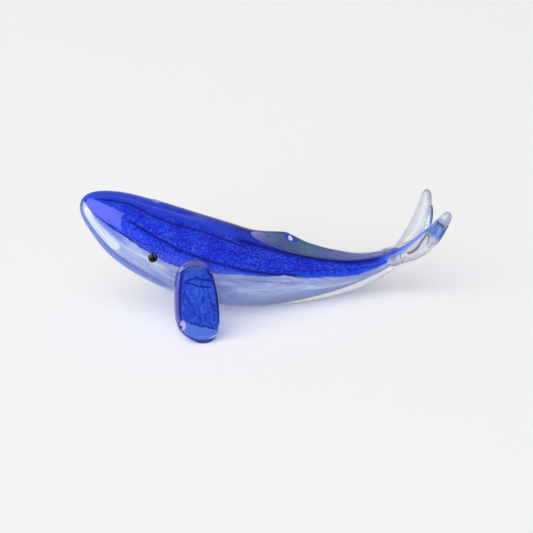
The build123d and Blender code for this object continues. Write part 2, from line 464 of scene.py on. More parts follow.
class Tray:
    """The nodes of one finish, or of the room around the whale."""

    def __init__(self, name: str, room: bool = False) -> None:
        """Starts an empty material, or an empty world.

        Args:
            name: Its name.
            room: True for a world.
        """
        self.owner = (bpy.data.worlds if room else bpy.data.materials).new(name)
        self.owner.use_nodes = True
        self.tree = self.owner.node_tree
        self.tree.nodes.clear()
        self.output = self.add("ShaderNodeOutputWorld" if room else "ShaderNodeOutputMaterial")

    def add(self, kind: str, inputs: dict | None = None, **settings: object) -> bpy.types.Node:
        """Adds a node.

        Args:
            kind: Its type.
            inputs: Values or sockets for its inputs, by name or number.
            settings: Its other settings, by name.

        Returns:
            The node.
        """
        node = self.tree.nodes.new(kind)
        for name, value in settings.items():
            setattr(node, name, value)
        for name, value in (inputs or {}).items():
            if isinstance(value, Socket):
                self.tree.links.new(value, node.inputs[name])
            else:
                node.inputs[name].default_value = (*value, 1) if is_colour(node, name, value) else value
        return node

    def shader(self, kind: str, inputs: dict) -> Socket:
        """A shader with these inputs."""
        return self.add(f"ShaderNode{kind}", inputs).outputs[0]

    def mixed(self, share: Socket, under: Socket, over: Socket) -> Socket:
        """One shader over another."""
        return self.shader("MixShader", {0: share, 1: under, 2: over})

    def finish(self, shader: Socket) -> bpy.types.Material | bpy.types.World:
        """Links the finished shader, and gives the material or the world back."""
        self.tree.links.new(shader, self.output.inputs["Surface"])
        return self.owner

    def rays(self, *kinds: str) -> list[Socket]:
        """For each of these kinds, whether a ray is of it."""
        path = self.add("ShaderNodeLightPath")
        return [path.outputs[f"Is {kind} Ray"] for kind in kinds]

    def attribute(self, name: str) -> Socket:
        """Number kept for each point of the piece."""
        return self.add("ShaderNodeAttribute", attribute_name=name).outputs["Fac"]

    def vector(self, name: str) -> Socket:
        """Vector kept for each point of the piece."""
        return self.add("ShaderNodeAttribute", attribute_name=name).outputs["Vector"]

    def object_place(self) -> Socket:
        """Place on the piece in the frame."""
        return self.add("ShaderNodeTexCoord").outputs["Object"]

    def grazing(self, blend: float, turns: Range, share: float) -> Socket:
        """Share that rises as the surface turns away from the eye, from one turn to another."""
        facing = self.add("ShaderNodeLayerWeight", {"Blend": blend}).outputs["Facing"]
        return self.step(facing, *turns, 0.0, share)

    def parts(self, vector: Socket) -> list[Socket]:
        """The three numbers of a vector."""
        return list(self.add("ShaderNodeSeparateXYZ", {0: vector}).outputs)

    def stretch(self, place: Socket, scale: Sequence[float]) -> Socket:
        """Place with its three directions scaled."""
        return self.add("ShaderNodeMapping", {"Vector": place, "Scale": scale}).outputs[0]

    def moved(self, operation: str, inputs: dict) -> Socket:
        """Result of a Vector Math node."""
        return self.add("ShaderNodeVectorMath", inputs, operation=operation).outputs[0]

    def warp(self, place: Socket, scale: float, reach: float) -> Socket:
        """Swirls a place by a cloudy pattern.

        Args:
            place: The plain place.
            scale: How many clouds stand in a unit.
            reach: How far the place is moved at most.

        Returns:
            The swirled place.
        """
        clouds = self.add("ShaderNodeTexNoise", {"Vector": place, "Scale": scale, "Detail": 2.0})
        centred = self.moved("SUBTRACT", {0: clouds.outputs["Color"], 1: (0.5, 0.5, 0.5)})
        return self.moved("ADD", {0: place, 1: self.moved("SCALE", {0: centred, "Scale": 2 * reach})})

    def cells(self, place: Socket, scale: float) -> Socket:
        """Distance to the nearest edge in a net of small cells."""
        inputs = {"Vector": place, "Scale": scale}
        return self.add("ShaderNodeTexVoronoi", inputs, feature="DISTANCE_TO_EDGE").outputs["Distance"]

    def noise(
        self,
        place: Socket,
        scale: float,
        detail: float = 2.0,
        roughness: float = 0.5,
        distortion: float = 0.0,
    ) -> Socket:
        """Lays a soft cloudy pattern.

        Args:
            place: Where it is read.
            scale: How many of its clouds stand in a unit.
            detail: How many finer layers it has.
            roughness: How strong these are.
            distortion: How far it is swirled.

        Returns:
            The pattern's value, between 0 and 1.
        """
        names = ("Vector", "Scale", "Detail", "Roughness", "Distortion")
        inputs = dict(zip(names, (place, scale, detail, roughness, distortion)))
        return self.add("ShaderNodeTexNoise", inputs).outputs["Fac"]

    def bump(self, height: Socket, depth: float) -> Socket:
        """Normal of a surface that a pattern raises by up to a depth, in metres."""
        return self.add("ShaderNodeBump", {"Height": height, "Distance": depth}).outputs["Normal"]

    def sums(self, operation: str, *values: object) -> Socket:
        """Result of a Math node on values or sockets, in their order."""
        return self.add("ShaderNodeMath", dict(enumerate(values)), operation=operation).outputs[0]

    def chain(self, operation: str, values: Sequence[object]) -> Socket:
        """Result of a Math operation on the first two values, then on that and the next, to the last."""
        return reduce(lambda one, other: self.sums(operation, one, other), values)

    def plus(self, *values: object) -> Socket:
        """Sum of values or sockets."""
        return self.chain("ADD", values)

    def times(self, *values: object) -> Socket:
        """Product of values or sockets."""
        return self.chain("MULTIPLY", values)

    def most(self, *values: object) -> Socket:
        """Largest of values or sockets."""
        return self.chain("MAXIMUM", values)

    def slope(self, value: Socket, rise: float, base: Socket | float) -> Socket:
        """Value times a rise, over a base."""
        return self.sums("MULTIPLY_ADD", value, rise, base)

    def step(
        self, value: Socket, low: float, high: float, start: float = 0.0, end: float = 1.0
    ) -> Socket:
        """Steps softly from one value to another.

        Args:
            value: What is followed.
            low: Where the step starts.
            high: Where it ends.
            start: Result before the step.
            end: Result after it.

        Returns:
            The stepped value.
        """
        inputs = {"Value": value, "From Min": low, "From Max": high, "To Min": start, "To Max": end}
        node = self.add("ShaderNodeMapRange", inputs, interpolation_type="SMOOTHSTEP")
        return node.outputs["Result"]

    def level(self, share: Socket, under: object, over: object) -> Socket:
        """Number between two others."""
        return self.add("ShaderNodeMix", {"Factor": share, "A": under, "B": over}).outputs["Result"]

    def blend(self, share: object, under: object, over: object) -> Socket:
        """One colour over another, as much of it as the share."""
        return self.add("ShaderNodeMix", {"Factor": share, 6: under, 7: over}, data_type="RGBA").outputs[2]

    def laid(self, colour: object, *layers: tuple[object, object]) -> Socket:
        """Lays colours over a colour, one after another.

        Args:
            colour: The lowest colour.
            layers: For each of the others, how much of it shows, and the colour.

        Returns:
            The mixed colour.
        """
        for share, over in layers:
            colour = self.blend(share, colour, over)
        return colour

    def ramp(self, value: Socket, *stops: tuple[float, Colour]) -> Socket:
        """Makes a colour that follows a value.

        Args:
            value: What is followed.
            stops: Places between 0 and 1, each with its colour.

        Returns:
            The colour.
        """
        node = self.add("ShaderNodeValToRGB", {"Fac": value})
        bar = node.color_ramp
        while len(bar.elements) < len(stops):
            bar.elements.new(1)
        for element, (place, colour) in zip(bar.elements, stops):
            element.position = place
            element.color = (*colour, 1)
        return node.outputs["Color"]

    def line(self, line: Line, along: Socket, across: Socket) -> Socket:
        """Draws a soft line over a piece.

        Args:
            line: The line.
            along: Where a point lies along the piece, between -1 and 1.
            across: Where it lies across it, between -1 and 1.

        Returns:
            How much of the line is there.
        """
        run, offset = (across, along) if line.crosswise else (along, across)
        node = self.add("ShaderNodeFloatCurve", {"Value": self.slope(run, 0.5, 0.5)})
        curve = node.mapping.curves[0]
        places = [((place + 1) / 2, (value + 1) / 2) for place, value in line.rows]
        for point, place in zip(curve.points, (places[0], places[-1])):
            point.location = place
        for place in places[1:-1]:
            curve.points.new(*place)
        node.mapping.update()
        away = self.sums("ABSOLUTE", self.sums("SUBTRACT", offset, self.slope(node.outputs[0], 2.0, -1.0)))
        first, last = line.rows[0][0], line.rows[-1][0]
        ends = self.times(self.step(run, first - line.fade, first), self.step(run, last + line.fade, last))
        return self.times(self.step(away, line.half_width, 0.0), ends)

    def oval(self, spot: Spot, along: Socket, across: Socket) -> Socket:
        """Draws a soft oval on a piece.

        Args:
            spot: The oval.
            along: Where a point lies along the piece.
            across: Where it lies across it.

        Returns:
            How much of the oval is there.
        """
        squares = []
        for value, middle, half in zip((along, across), spot.centre, spot.halves):
            side = self.slope(value, 1 / half, -middle / half)
            squares.append(self.times(side, side))
        return self.step(self.sums("SQRT", self.plus(*squares)), 1.0, 1.0 - spot.edge)

    def mark(self, shape: Line | Spot, along: Socket, across: Socket) -> Socket:
        """Draws a line or an oval on a piece.

        Args:
            shape: The line or the oval.
            along: Where a point lies along the piece.
            across: Where it lies across it.

        Returns:
            How much of it shows.
        """
        draw = self.line if isinstance(shape, Line) else self.oval
        return self.times(draw(shape, along, across), shape.share)


def is_colour(node: bpy.types.Node, name: str | int, value: object) -> bool:
    """True if a plain value of three numbers goes into a colour input."""
    return isinstance(value, tuple) and len(value) == 3 and node.inputs[name].type == "RGBA"


def display(red: int, green: int, blue: int) -> Colour:
    """Colour for a shader, from the three numbers that a screen shows."""
    shares = [value / 255 for value in (red, green, blue)]
    return tuple(v / 12.92 if v <= 0.04045 else ((v + 0.055) / 1.055) ** 2.4 for v in shares)


@dataclass(frozen=True)
class ClearGlass:
    """Solid clear glass that lets lamps reach what lies inside it."""

    name: str = "clear glass"
    tint: Colour = (0.985, 0.988, 1.0)
    shade: Colour = (0.90, 0.91, 0.96)
    index: float = 1.5
    swell: float = 0.25 * MM
    swell_scale: float = 70.0
    milk: Colour = display(196, 198, 232)
    rim: Colour = display(82, 108, 200)
    crest_rim: Colour = display(48, 88, 246)
    rim_turns: Range = (0.36, 0.62)
    rim_share: float = 0.9
    colour_pull: float = 4.0

    def cloud(self, tray: Tray) -> tuple[Socket, Socket]:
        """Lays the milk in the glass, with a blue rim round the head.

        Args:
            tray: The nodes of the finish.

        Returns:
            How milky the glass is, and in which colour.
        """
        grazing = tray.times(tray.grazing(0.5, self.rim_turns, self.rim_share), tray.attribute("head"))
        cloud = tray.attribute("cloud")
        rim = tray.blend(tray.attribute("crest"), self.rim, self.crest_rim)
        return tray.most(cloud, grazing), tray.blend(cloud, rim, self.milk)

    def make(self) -> bpy.types.Material:
        """Makes the finish.

        Returns:
            The material.
        """
        tray = Tray(self.name)
        waves = tray.noise(tray.object_place(), self.swell_scale, detail=1.0)
        cloud, milk = self.cloud(tray)
        inputs = {
            "Base Color": tray.blend(tray.times(cloud, self.colour_pull), self.tint, milk),
            "Roughness": 0.0,
            "IOR": self.index,
            "Transmission Weight": tray.sums("SUBTRACT", 1.0, cloud),
            "Normal": tray.bump(waves, self.swell),
        }
        through = tray.shader("BsdfTransparent", {"Color": self.shade})
        lamps = tray.most(*tray.rays("Shadow", "Diffuse"))
        return tray.finish(tray.mixed(lamps, tray.shader("BsdfPrincipled", inputs), through))


@dataclass(frozen=True)
class FlukeGlass(ClearGlass):
    """Slightly milky glass of the flukes, with blue and grey seams in the left one, grey knobs, and painted
    shade in grey where the edges turn from the eye.
    """

    name: str = "milky clear glass"
    colour_pull: float = 1.0
    milk: Colour = display(128, 134, 158)
    far_milk: Colour = display(110, 115, 138)
    # Grey of the knobs, and painted shade where the edges turn from the eye.
    rim: Colour = display(58, 62, 86)
    blue: Colour = display(18, 58, 156)
    pale_blue: Colour = display(70, 122, 190)
    dark_blue: Colour = display(6, 10, 84)
    olive: Colour = display(36, 44, 42)
    teal: Colour = display(40, 70, 92)
    black: Colour = display(10, 12, 18)
    rim_turns: Range = (0.45, 0.92)
    rim_share: float = 0.85
    cloudiness: Range = (0.25, 0.55)
    knob: Range = (0.66, 0.70)
    blue_start: Range = (0.40, 0.52)
    blue_end: Range = (0.68, 0.65)
    hook: Line = Line(
        ((0.25, 0.1), (0.27, -0.60), (0.36, -0.50), (0.43, -0.15), (0.475, 0.0)), 0.38, share=0.95
    )
    far_hook: Line = Line(((-0.70, 0.45), (-0.35, 0.492), (0.0, 0.475)), 0.022, share=0.95, crosswise=True)
    inner: Line = Line(((0.30, 0.45), (0.38, 0.35), (0.46, 0.30)), 0.10, share=0.7)
    knob_seam: Line = Line(
        ((-0.95, 0.66), (-0.4, 0.65), (0.0, 0.625), (0.5, 0.63)), 0.042, share=0.95, crosswise=True
    )
    stock_end: Spot = Spot((0.07, -0.4), (0.08, 0.9), 0.6, 0.8)
    crease: Line = Line(((-1.0, 0.150), (-0.3, 0.158), (0.4, 0.150)), 0.020, share=0.95, crosswise=True)

    def cloud(self, tray: Tray) -> tuple[Socket, Socket]:
        """Lays the milk, the grey rim of painted shade and the seams in the glass.

        Args:
            tray: The nodes of the finish.

        Returns:
            How dense they are, and in which colour.
        """
        lobe = tray.vector("lobe")
        place, across, near = tray.parts(lobe)
        wisps = tray.noise(tray.stretch(lobe, (3.0, 1.0, 1.0)), 3.0, detail=3.0, distortion=1.0)
        # Painted shade at the edges that turn from the eye.
        grazing = tray.grazing(0.35, self.rim_turns, self.rim_share)
        knob = tray.step(place, *self.knob)
        cloud = tray.most(tray.step(wisps, 0.3, 0.7, *self.cloudiness), grazing, tray.times(knob, 0.5))
        milk = tray.blend(near, self.far_milk, self.milk)
        colour = tray.laid(milk, (grazing, self.rim), (tray.times(knob, 0.35), self.rim))
        for share, deep in self.seams(tray, lobe):
            share = tray.times(share, near)
            cloud, colour = tray.most(cloud, share), tray.blend(share, colour, deep)
        return cloud, colour

    def seams(self, tray: Tray, lobe: Socket) -> list[tuple[Socket, object]]:
        """Lays the coloured parts of the left lobe.

        Args:
            tray: The nodes of the finish.
            lobe: Where a point lies along the lobe and across it.

        Returns:
            For each part how dense it is, and its colour.
        """
        place, across, _ = tray.parts(lobe)
        slanted = tray.slope(across, 0.05, place)
        tinted = tray.times(tray.step(slanted, *self.blue_start), tray.step(place, *self.blue_end), 0.95)
        swirl = tray.noise(tray.stretch(lobe, (1.5, 1.0, 1.0)), 7.0, detail=3.0, distortion=1.5)
        marks = (
            (self.hook, self.olive),
            (self.far_hook, self.olive),
            (self.inner, self.pale_blue),
            (self.knob_seam, self.dark_blue),
            (self.stock_end, self.teal),
            (self.crease, self.black),
        )
        blues = tray.ramp(swirl, (0.38, self.blue), (0.62, self.pale_blue))
        return [(tinted, blues), *((tray.mark(shape, place, across), colour) for shape, colour in marks)]


@dataclass(frozen=True)
class PowderAndMilk:
    """Blue powdered back and milky belly, fused under the clear glass, with painted highlights and painted
    shade on the belly.

    Heights over the line between them are in millimetres, and angles over the body's middle in degrees.
    """

    name: str = "blue powder and milk glass"
    thread: Colour = display(0, 0, 124)
    navy: Colour = display(4, 8, 190)
    cobalt: Colour = display(20, 46, 226)
    bright: Colour = display(64, 114, 244)
    fringe: Colour = display(28, 84, 226)
    crest: Colour = display(44, 80, 255)
    tail_blue: Colour = display(84, 126, 226)
    milk: Colour = display(150, 164, 217)
    wisp: Colour = display(198, 210, 238)
    slate: Colour = display(116, 136, 188)
    # Painted shade: the grey that darkens the belly low down.
    ash: Colour = display(122, 140, 182)
    # Painted highlight: near-white of the streaks painted on the belly where the glass mirrors the bright
    # floor.
    frost: Colour = display(224, 230, 234)
    haze: Colour = display(66, 98, 206)
    grain_scale: float = 2100.0
    wisp_scale: float = 170.0
    fray_scale: float = 500.0
    fray: float = 0.4
    crest_angles: Range = (62.0, 86.0)
    crest_run: Range = (0.46, 0.34)
    tail_run: Range = (0.80, 0.97)
    fringe_heights: Range = (2.2, 0.6)
    fringe_run: Range = (0.28, 0.4)
    ash_heights: Range = (-5.0, -14.0)
    ash_run: Range = (0.25, 0.4)
    chin_run: Range = (0.24, 0.08)

    def blue(self, tray: Tray, along: Socket) -> Socket:
        """Lays the powdered back.

        Args:
            tray: The nodes of the finish.
            along: Share of the body's length.

        Returns:
            Its colour.
        """
        grain = tray.vector("grain")
        drawn = tray.stretch(tray.warp(grain, self.grain_scale / 4, 0.4 / self.grain_scale), (0.75, 1.0, 1.0))
        fine = tray.noise(drawn, self.grain_scale, detail=4.0, roughness=0.7)
        net = tray.cells(drawn, self.grain_scale * 0.9)
        broad = tray.noise(grain, self.grain_scale / 14)
        value = tray.plus(
            tray.step(fine, 0.34, 0.66, 0.0, 0.8),
            tray.step(net, 0.0, 0.12, -0.14, 0.06),
            tray.step(broad, 0.3, 0.7, -0.05, 0.15),
        )
        crest = tray.step(tray.attribute("angle"), *self.crest_angles)
        low = tray.step(tray.attribute("above_line"), *self.fringe_heights)
        return tray.laid(
            tray.ramp(value, (0.16, self.navy), (0.46, self.cobalt), (0.92, self.bright)),
            (tray.times(crest, tray.step(along, *self.crest_run), 0.85), self.crest),
            (tray.step(along, *self.tail_run, 0.0, 0.8), self.tail_blue),
            (tray.times(low, tray.step(along, *self.fringe_run, 0.0, 0.75)), self.fringe),
            (tray.attribute("threads"), self.thread),
        )

    def white(self, tray: Tray, along: Socket) -> Socket:
        """Lays the milky belly, with painted highlights and a painted shade low on it.

        Args:
            tray: The nodes of the finish.
            along: Share of the body's length.

        Returns:
            Its colour.
        """
        drawn = tray.stretch(tray.vector("grain"), (0.35, 1.0, 1.0))
        clouds = tray.noise(drawn, self.wisp_scale, detail=5.0, roughness=0.65, distortion=1.4)
        # Painted shade: greyer low on the belly, from behind the head on.
        low = tray.times(tray.step(tray.attribute("above_line"), *self.ash_heights), 0.6)
        return tray.laid(
            tray.ramp(clouds, (0.30, self.slate), (0.50, self.milk), (0.68, self.wisp)),
            (tray.times(low, tray.step(along, *self.ash_run)), self.ash),
            (tray.step(along, *self.chin_run, 0.0, 0.3), self.wisp),
            # Painted highlights: glare and other white streaks that stand in for the floor's reflection.
            (tray.attribute("frost"), self.frost),
            (tray.step(tray.attribute("glare"), 0.25, 0.6, 0.0, 0.85), self.frost),
            (tray.attribute("haze"), self.haze),
        )

    def make(self) -> bpy.types.Material:
        """Makes the finish.

        Returns:
            The material.
        """
        tray = Tray(self.name)
        along = tray.attribute("along")
        clouds = tray.noise(tray.vector("grain"), self.fray_scale, detail=3.0)
        above = tray.plus(tray.attribute("above_line"), tray.step(clouds, 0.2, 0.8, -self.fray, self.fray))
        colour = tray.blend(tray.step(above, -0.3, 0.3), self.white(tray, along), self.blue(tray, along))
        inputs = {"Base Color": colour, "Roughness": 0.45, "Specular IOR Level": 0.1}
        return tray.finish(tray.shader("BsdfPrincipled", inputs))


@dataclass(frozen=True)
class FlipperBlue:
    """Clear blue glass of a flipper, with seams, ripples, a crease and a blister, painted shade at its rim
    and along its sides, a lighter toe that is painted light, and a painted glint.
    """

    name: str = "flipper blue glass"
    deep: Colour = display(0, 0, 140)
    blue: Colour = display(4, 28, 178)
    light: Colour = display(46, 100, 214)
    teal: Colour = display(30, 86, 176)
    # Painted light: the lighter blue of the toe below the crease.
    toe: Colour = display(78, 120, 214)
    pale: Colour = display(190, 184, 220)
    shade: Colour = (0.50, 0.60, 0.98)
    lamp_share: float = 0.92
    root_run: Range = (0.24, 0.12)
    # Where the painted light on the toe starts, and the painted shade in bands along both sides.
    toe_run: Range = (0.775, 0.80)
    side_run: Range = (0.80, 0.92)
    side_middle: float = 0.04
    ripple_pace: float = 110.0
    ripples: Spot = Spot((0.58, 0.62), (0.20, 0.34), 0.7)
    smudge: Spot = Spot((0.49, 0.24), (0.07, 0.14), 0.9, 0.6)
    blister: Spot = Spot((0.765, -0.79), (0.068, 0.16), 0.5, 0.85)
    pit: Spot = Spot((0.785, -0.88), (0.024, 0.07), 0.5)
    glint: Line = Line(((0.80, 0.85), (0.86, 0.80), (0.91, 0.62), (0.93, 0.45)), 0.06, 0.01)
    across_seams: tuple[Rows, ...] = (
        ((-0.45, 0.26), (-0.16, 0.25), (0.19, 0.25), (0.42, 0.272), (0.70, 0.283)),
        (
            (-0.55, 0.285),
            (-0.17, 0.305),
            (0.09, 0.341),
            (0.33, 0.337),
            (0.53, 0.356),
            (0.65, 0.349),
            (0.72, 0.32),
        ),
        ((-0.44, 0.746), (-0.03, 0.78), (0.60, 0.83)),
    )
    toe_seams: tuple[Rows, ...] = (
        (
            (-0.88, 0.80),
            (-0.74, 0.86),
            (-0.52, 0.91),
            (-0.18, 0.95),
            (0.25, 0.965),
            (0.62, 0.94),
            (0.86, 0.88),
        ),
    )
    down_seams: tuple[Rows, ...] = (
        (
            (0.11, -0.42),
            (0.20, -0.62),
            (0.32, -0.72),
            (0.43, -0.80),
            (0.57, -0.88),
            (0.68, -0.93),
            (0.76, -0.96),
        ),
        ((0.20, 0.66), (0.27, 0.80), (0.35, 0.87), (0.50, 0.90), (0.75, 0.90), (0.86, 0.82)),
    )
    hair_seams: tuple[Rows, ...] = (
        ((0.45, -0.53), (0.65, -0.17)),
        ((0.61, 0.02), (0.75, 0.01)),
    )

    def seams(self) -> list[Line]:
        """Lists the dark lines in the glass.

        Returns:
            The lines across, round the toe and down, and the hair-fine ones.
        """
        kinds = (
            (self.across_seams, Line((), 0.020, 0.06, crosswise=True)),
            (self.toe_seams, Line((), 0.036, 0.06, crosswise=True)),
            (self.down_seams, Line((), 0.15, 0.05)),
            (self.hair_seams, Line((), 0.045, 0.03, share=0.8)),
        )
        return [replace(line, rows=rows) for seams, line in kinds for rows in seams]

    def make(self) -> bpy.types.Material:
        """Makes the finish.

        Returns:
            The material.
        """
        tray = Tray(self.name)
        blade = tray.warp(tray.vector("blade"), 4.0, 0.02)
        across, down, _ = tray.parts(blade)
        drawn = tray.stretch(blade, (1.6, 3.6, 1.0))
        swirl = tray.noise(drawn, 2.2, detail=4.0, roughness=0.6, distortion=1.6)
        waves = tray.sums("SINE", tray.times(tray.slope(across, -0.12, down), self.ripple_pace))
        ripples = tray.times(tray.mark(self.ripples, down, across), tray.step(waves, 0.2, 1.0, 0.0, 0.6))
        aside = tray.sums("ABSOLUTE", tray.sums("SUBTRACT", across, self.side_middle))
        # Seams and smudge, with painted shade at the rim and along both sides.
        seams_and_rim_shade = tray.most(
            *(tray.mark(shape, down, across) for shape in (self.smudge, *self.seams())),
            tray.step(tray.attribute("rim"), 0.05, 0.3),
            tray.step(aside, *self.side_run, 0.0, 0.95),
        )
        colour = tray.laid(
            tray.ramp(swirl, (0.34, self.blue), (0.68, self.light)),
            (tray.step(down, *self.root_run, 0.0, 0.8), self.teal),
            # Painted light: lighter toe below the crease.
            (tray.step(tray.slope(across, -0.08, down), *self.toe_run, 0.0, 0.85), self.toe),
            (ripples, self.deep),
            (seams_and_rim_shade, self.deep),
            (tray.mark(self.blister, down, across), self.pale),
            (tray.mark(self.pit, down, across), self.deep),
            (tray.mark(self.glint, down, across), WHITE),
        )
        inputs = {"Base Color": colour, "Roughness": 0.25, "Specular IOR Level": 0.2}
        through = tray.shader("BsdfTransparent", {"Color": self.shade})
        lamps = tray.times(*tray.rays("Shadow"), self.lamp_share)
        return tray.finish(tray.mixed(lamps, tray.shader("BsdfPrincipled", inputs), through))


@dataclass(frozen=True)
class VeinGlass:
    """Painted shade in the fin: grey-green where the clear fin only shows darker surroundings, lavender
    toward its ends, with the bubble's blue ring.
    """

    name: str = "ridge vein glass"
    streak: Colour = display(48, 76, 140)
    seam: Colour = display(168, 152, 204)
    seam_heights: Range = (-0.62, -0.86)
    ring: Colour = display(24, 60, 200)
    ring_spot: Spot = Spot((0.254, 0.74), (0.052, 0.32), 0.3)
    disc: Colour = display(226, 224, 250)
    disc_spot: Spot = Spot((0.253, 0.74), (0.021, 0.22), 0.4)
    stops: tuple[tuple[float, Colour], ...] = (
        (0.00, display(132, 134, 192)),
        (0.08, display(92, 108, 152)),
        (0.18, display(62, 92, 132)),
        (0.28, display(62, 96, 134)),
        (0.38, display(80, 112, 134)),
        (0.46, display(82, 102, 156)),
        (0.60, display(98, 108, 166)),
        (1.00, display(126, 132, 184)),
    )

    def make(self) -> bpy.types.Material:
        """Makes the finish.

        Returns:
            The material.
        """
        tray = Tray(self.name)
        vein = tray.vector("vein")
        along, height, _ = tray.parts(vein)
        drawn = tray.stretch(tray.warp(vein, 6.0, 0.03), (8.0, 1.6, 1.0))
        colour = tray.laid(
            tray.ramp(along, *self.stops),
            (tray.step(tray.noise(drawn, 2.2, detail=3.0), 0.5, 0.72, 0.0, 0.7), self.streak),
            (tray.step(height, *self.seam_heights), self.seam),
            (tray.mark(self.ring_spot, along, height), self.ring),
            (tray.mark(self.disc_spot, along, height), self.disc),
        )
        return tray.finish(tray.shader("BsdfPrincipled", {"Base Color": colour, "Roughness": 0.4}))


@dataclass(frozen=True)
class StreakGlass:
    """Blue glass drawn out between the flukes, teal toward its tip."""

    name: str = "streak blue glass"
    stops: tuple[tuple[float, Colour], ...] = (
        (0.00, display(34, 78, 218)),
        (0.25, display(62, 106, 228)),
        (0.47, display(90, 120, 232)),
        (0.51, display(50, 112, 196)),
        (0.56, display(70, 108, 140)),
        (1.00, display(78, 116, 146)),
    )
    cloud_scale: float = 400.0
    fray: float = 0.03

    def make(self) -> bpy.types.Material:
        """Makes the finish.

        Returns:
            The material.
        """
        tray = Tray(self.name)
        clouds = tray.noise(tray.object_place(), self.cloud_scale, detail=3.0)
        place = tray.plus(
            tray.parts(tray.vector("lobe"))[0], tray.step(clouds, 0.3, 0.7, -self.fray, self.fray)
        )
        inputs = {"Base Color": tray.ramp(place, *self.stops), "Roughness": 0.25}
        return tray.finish(tray.shader("BsdfPrincipled", inputs))


@dataclass(frozen=True)
class BlackGlass:
    """Glossy black glass of an eye, with two thin window lights."""

    name: str = "black glass"
    deep: Colour = (0.0015, 0.0015, 0.002)
    light: Colour = (0.004, 0.004, 0.005)
    glint: Colour = display(150, 150, 156)
    windows: tuple[Line, ...] = (
        Line(((0.05, -0.50), (0.40, -0.46), (0.80, -0.22)), 0.13, 0.1, 0.7),
        Line(((0.15, 0.50), (0.40, 0.47), (0.75, 0.25)), 0.13, 0.1, 0.7),
    )
    cloud_scale: float = 900.0

    def make(self) -> bpy.types.Material:
        """Makes the finish.

        Returns:
            The material.
        """
        tray = Tray(self.name)
        clouds = tray.noise(tray.object_place(), self.cloud_scale)
        across, up, _ = tray.parts(tray.vector("bead"))
        colour = tray.laid(
            tray.ramp(clouds, (0.35, self.deep), (0.65, self.light)),
            *((tray.mark(window, up, across), self.glint) for window in self.windows),
        )
        inputs = {"Base Color": colour, "Roughness": 0.06, "Specular IOR Level": 0.14}
        return tray.finish(tray.shader("BsdfPrincipled", inputs))


@dataclass(frozen=True)
class CoreGlass:
    """Cloudy glass of the first gather, which lies hidden under the colour."""

    name: str = "core glass"
    deep: Colour = display(170, 176, 200)
    light: Colour = display(190, 196, 215)
    cloud_scale: float = 200.0

    def make(self) -> bpy.types.Material:
        """Makes the finish.

        Returns:
            The material.
        """
        tray = Tray(self.name)
        clouds = tray.noise(tray.object_place(), self.cloud_scale, detail=3.0)
        colour = tray.ramp(clouds, (0.35, self.deep), (0.65, self.light))
        return tray.finish(tray.shader("BsdfPrincipled", {"Base Color": colour, "Roughness": 0.3}))


@dataclass(frozen=True)
class Paper:
    """Pale studio paper of the floor, pale through glass and dimmer where glass mirrors it from afar."""

    name: str = "studio paper"
    tone: Colour = (0.98, 0.98, 0.98)
    glow_tone: Colour = (0.95, 0.975, 1.0)
    glow: float = 0.95
    glow_share: float = 0.9
    far_glow: float = 0.26
    far_run: Range = (0.2, 0.5)
    front_run: Range = (0.3, -0.1)

    def make(self) -> bpy.types.Material:
        """Makes the finish.

        Returns:
            The material.
        """
        tray = Tray(self.name)
        place = tray.object_place()
        through, mirrored = tray.rays("Transmission", "Glossy")
        paper = tray.shader("BsdfDiffuse", {"Color": self.tone})
        glow = tray.shader("Emission", {"Color": self.glow_tone, "Strength": self.glow})
        dim = tray.shader("Emission", {"Color": WHITE, "Strength": self.far_glow})
        away = tray.add("ShaderNodeVectorMath", {0: place}, operation="LENGTH").outputs["Value"]
        front = tray.step(tray.parts(place)[1], *self.front_run)
        far = tray.times(tray.step(away, *self.far_run), front, mirrored)
        seen = tray.mixed(tray.times(through, self.glow_share), paper, glow)
        return tray.finish(tray.mixed(far, seen, dim))


def dress(piece: Piece, finish: bpy.types.Material, slot: Slot, *nodes: str) -> None:
    """Gives a new piece its finish and its body, and hides the nodes it stands for.

    Args:
        piece: The finished piece.
        finish: Its material.
        slot: The record's slot for it; not used.
        nodes: The CAD nodes that it replaces.
    """
    piece.data.materials.clear()
    piece.data.materials.append(finish)
    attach(piece, "root")
    if nodes:
        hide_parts(*nodes)
    log.info("%s: %d faces, for %s", piece.name, len(piece.data.polygons), ", ".join(nodes) or "no node")


def dress_node(name: str, finish: bpy.types.Material) -> None:
    """Gives a CAD node that stays its finish.

    Args:
        name: Name of the node.
        finish: Its material.
    """
    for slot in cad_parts[name].material_slots:
        slot.material = finish
    log.info("%s: CAD node kept", name)


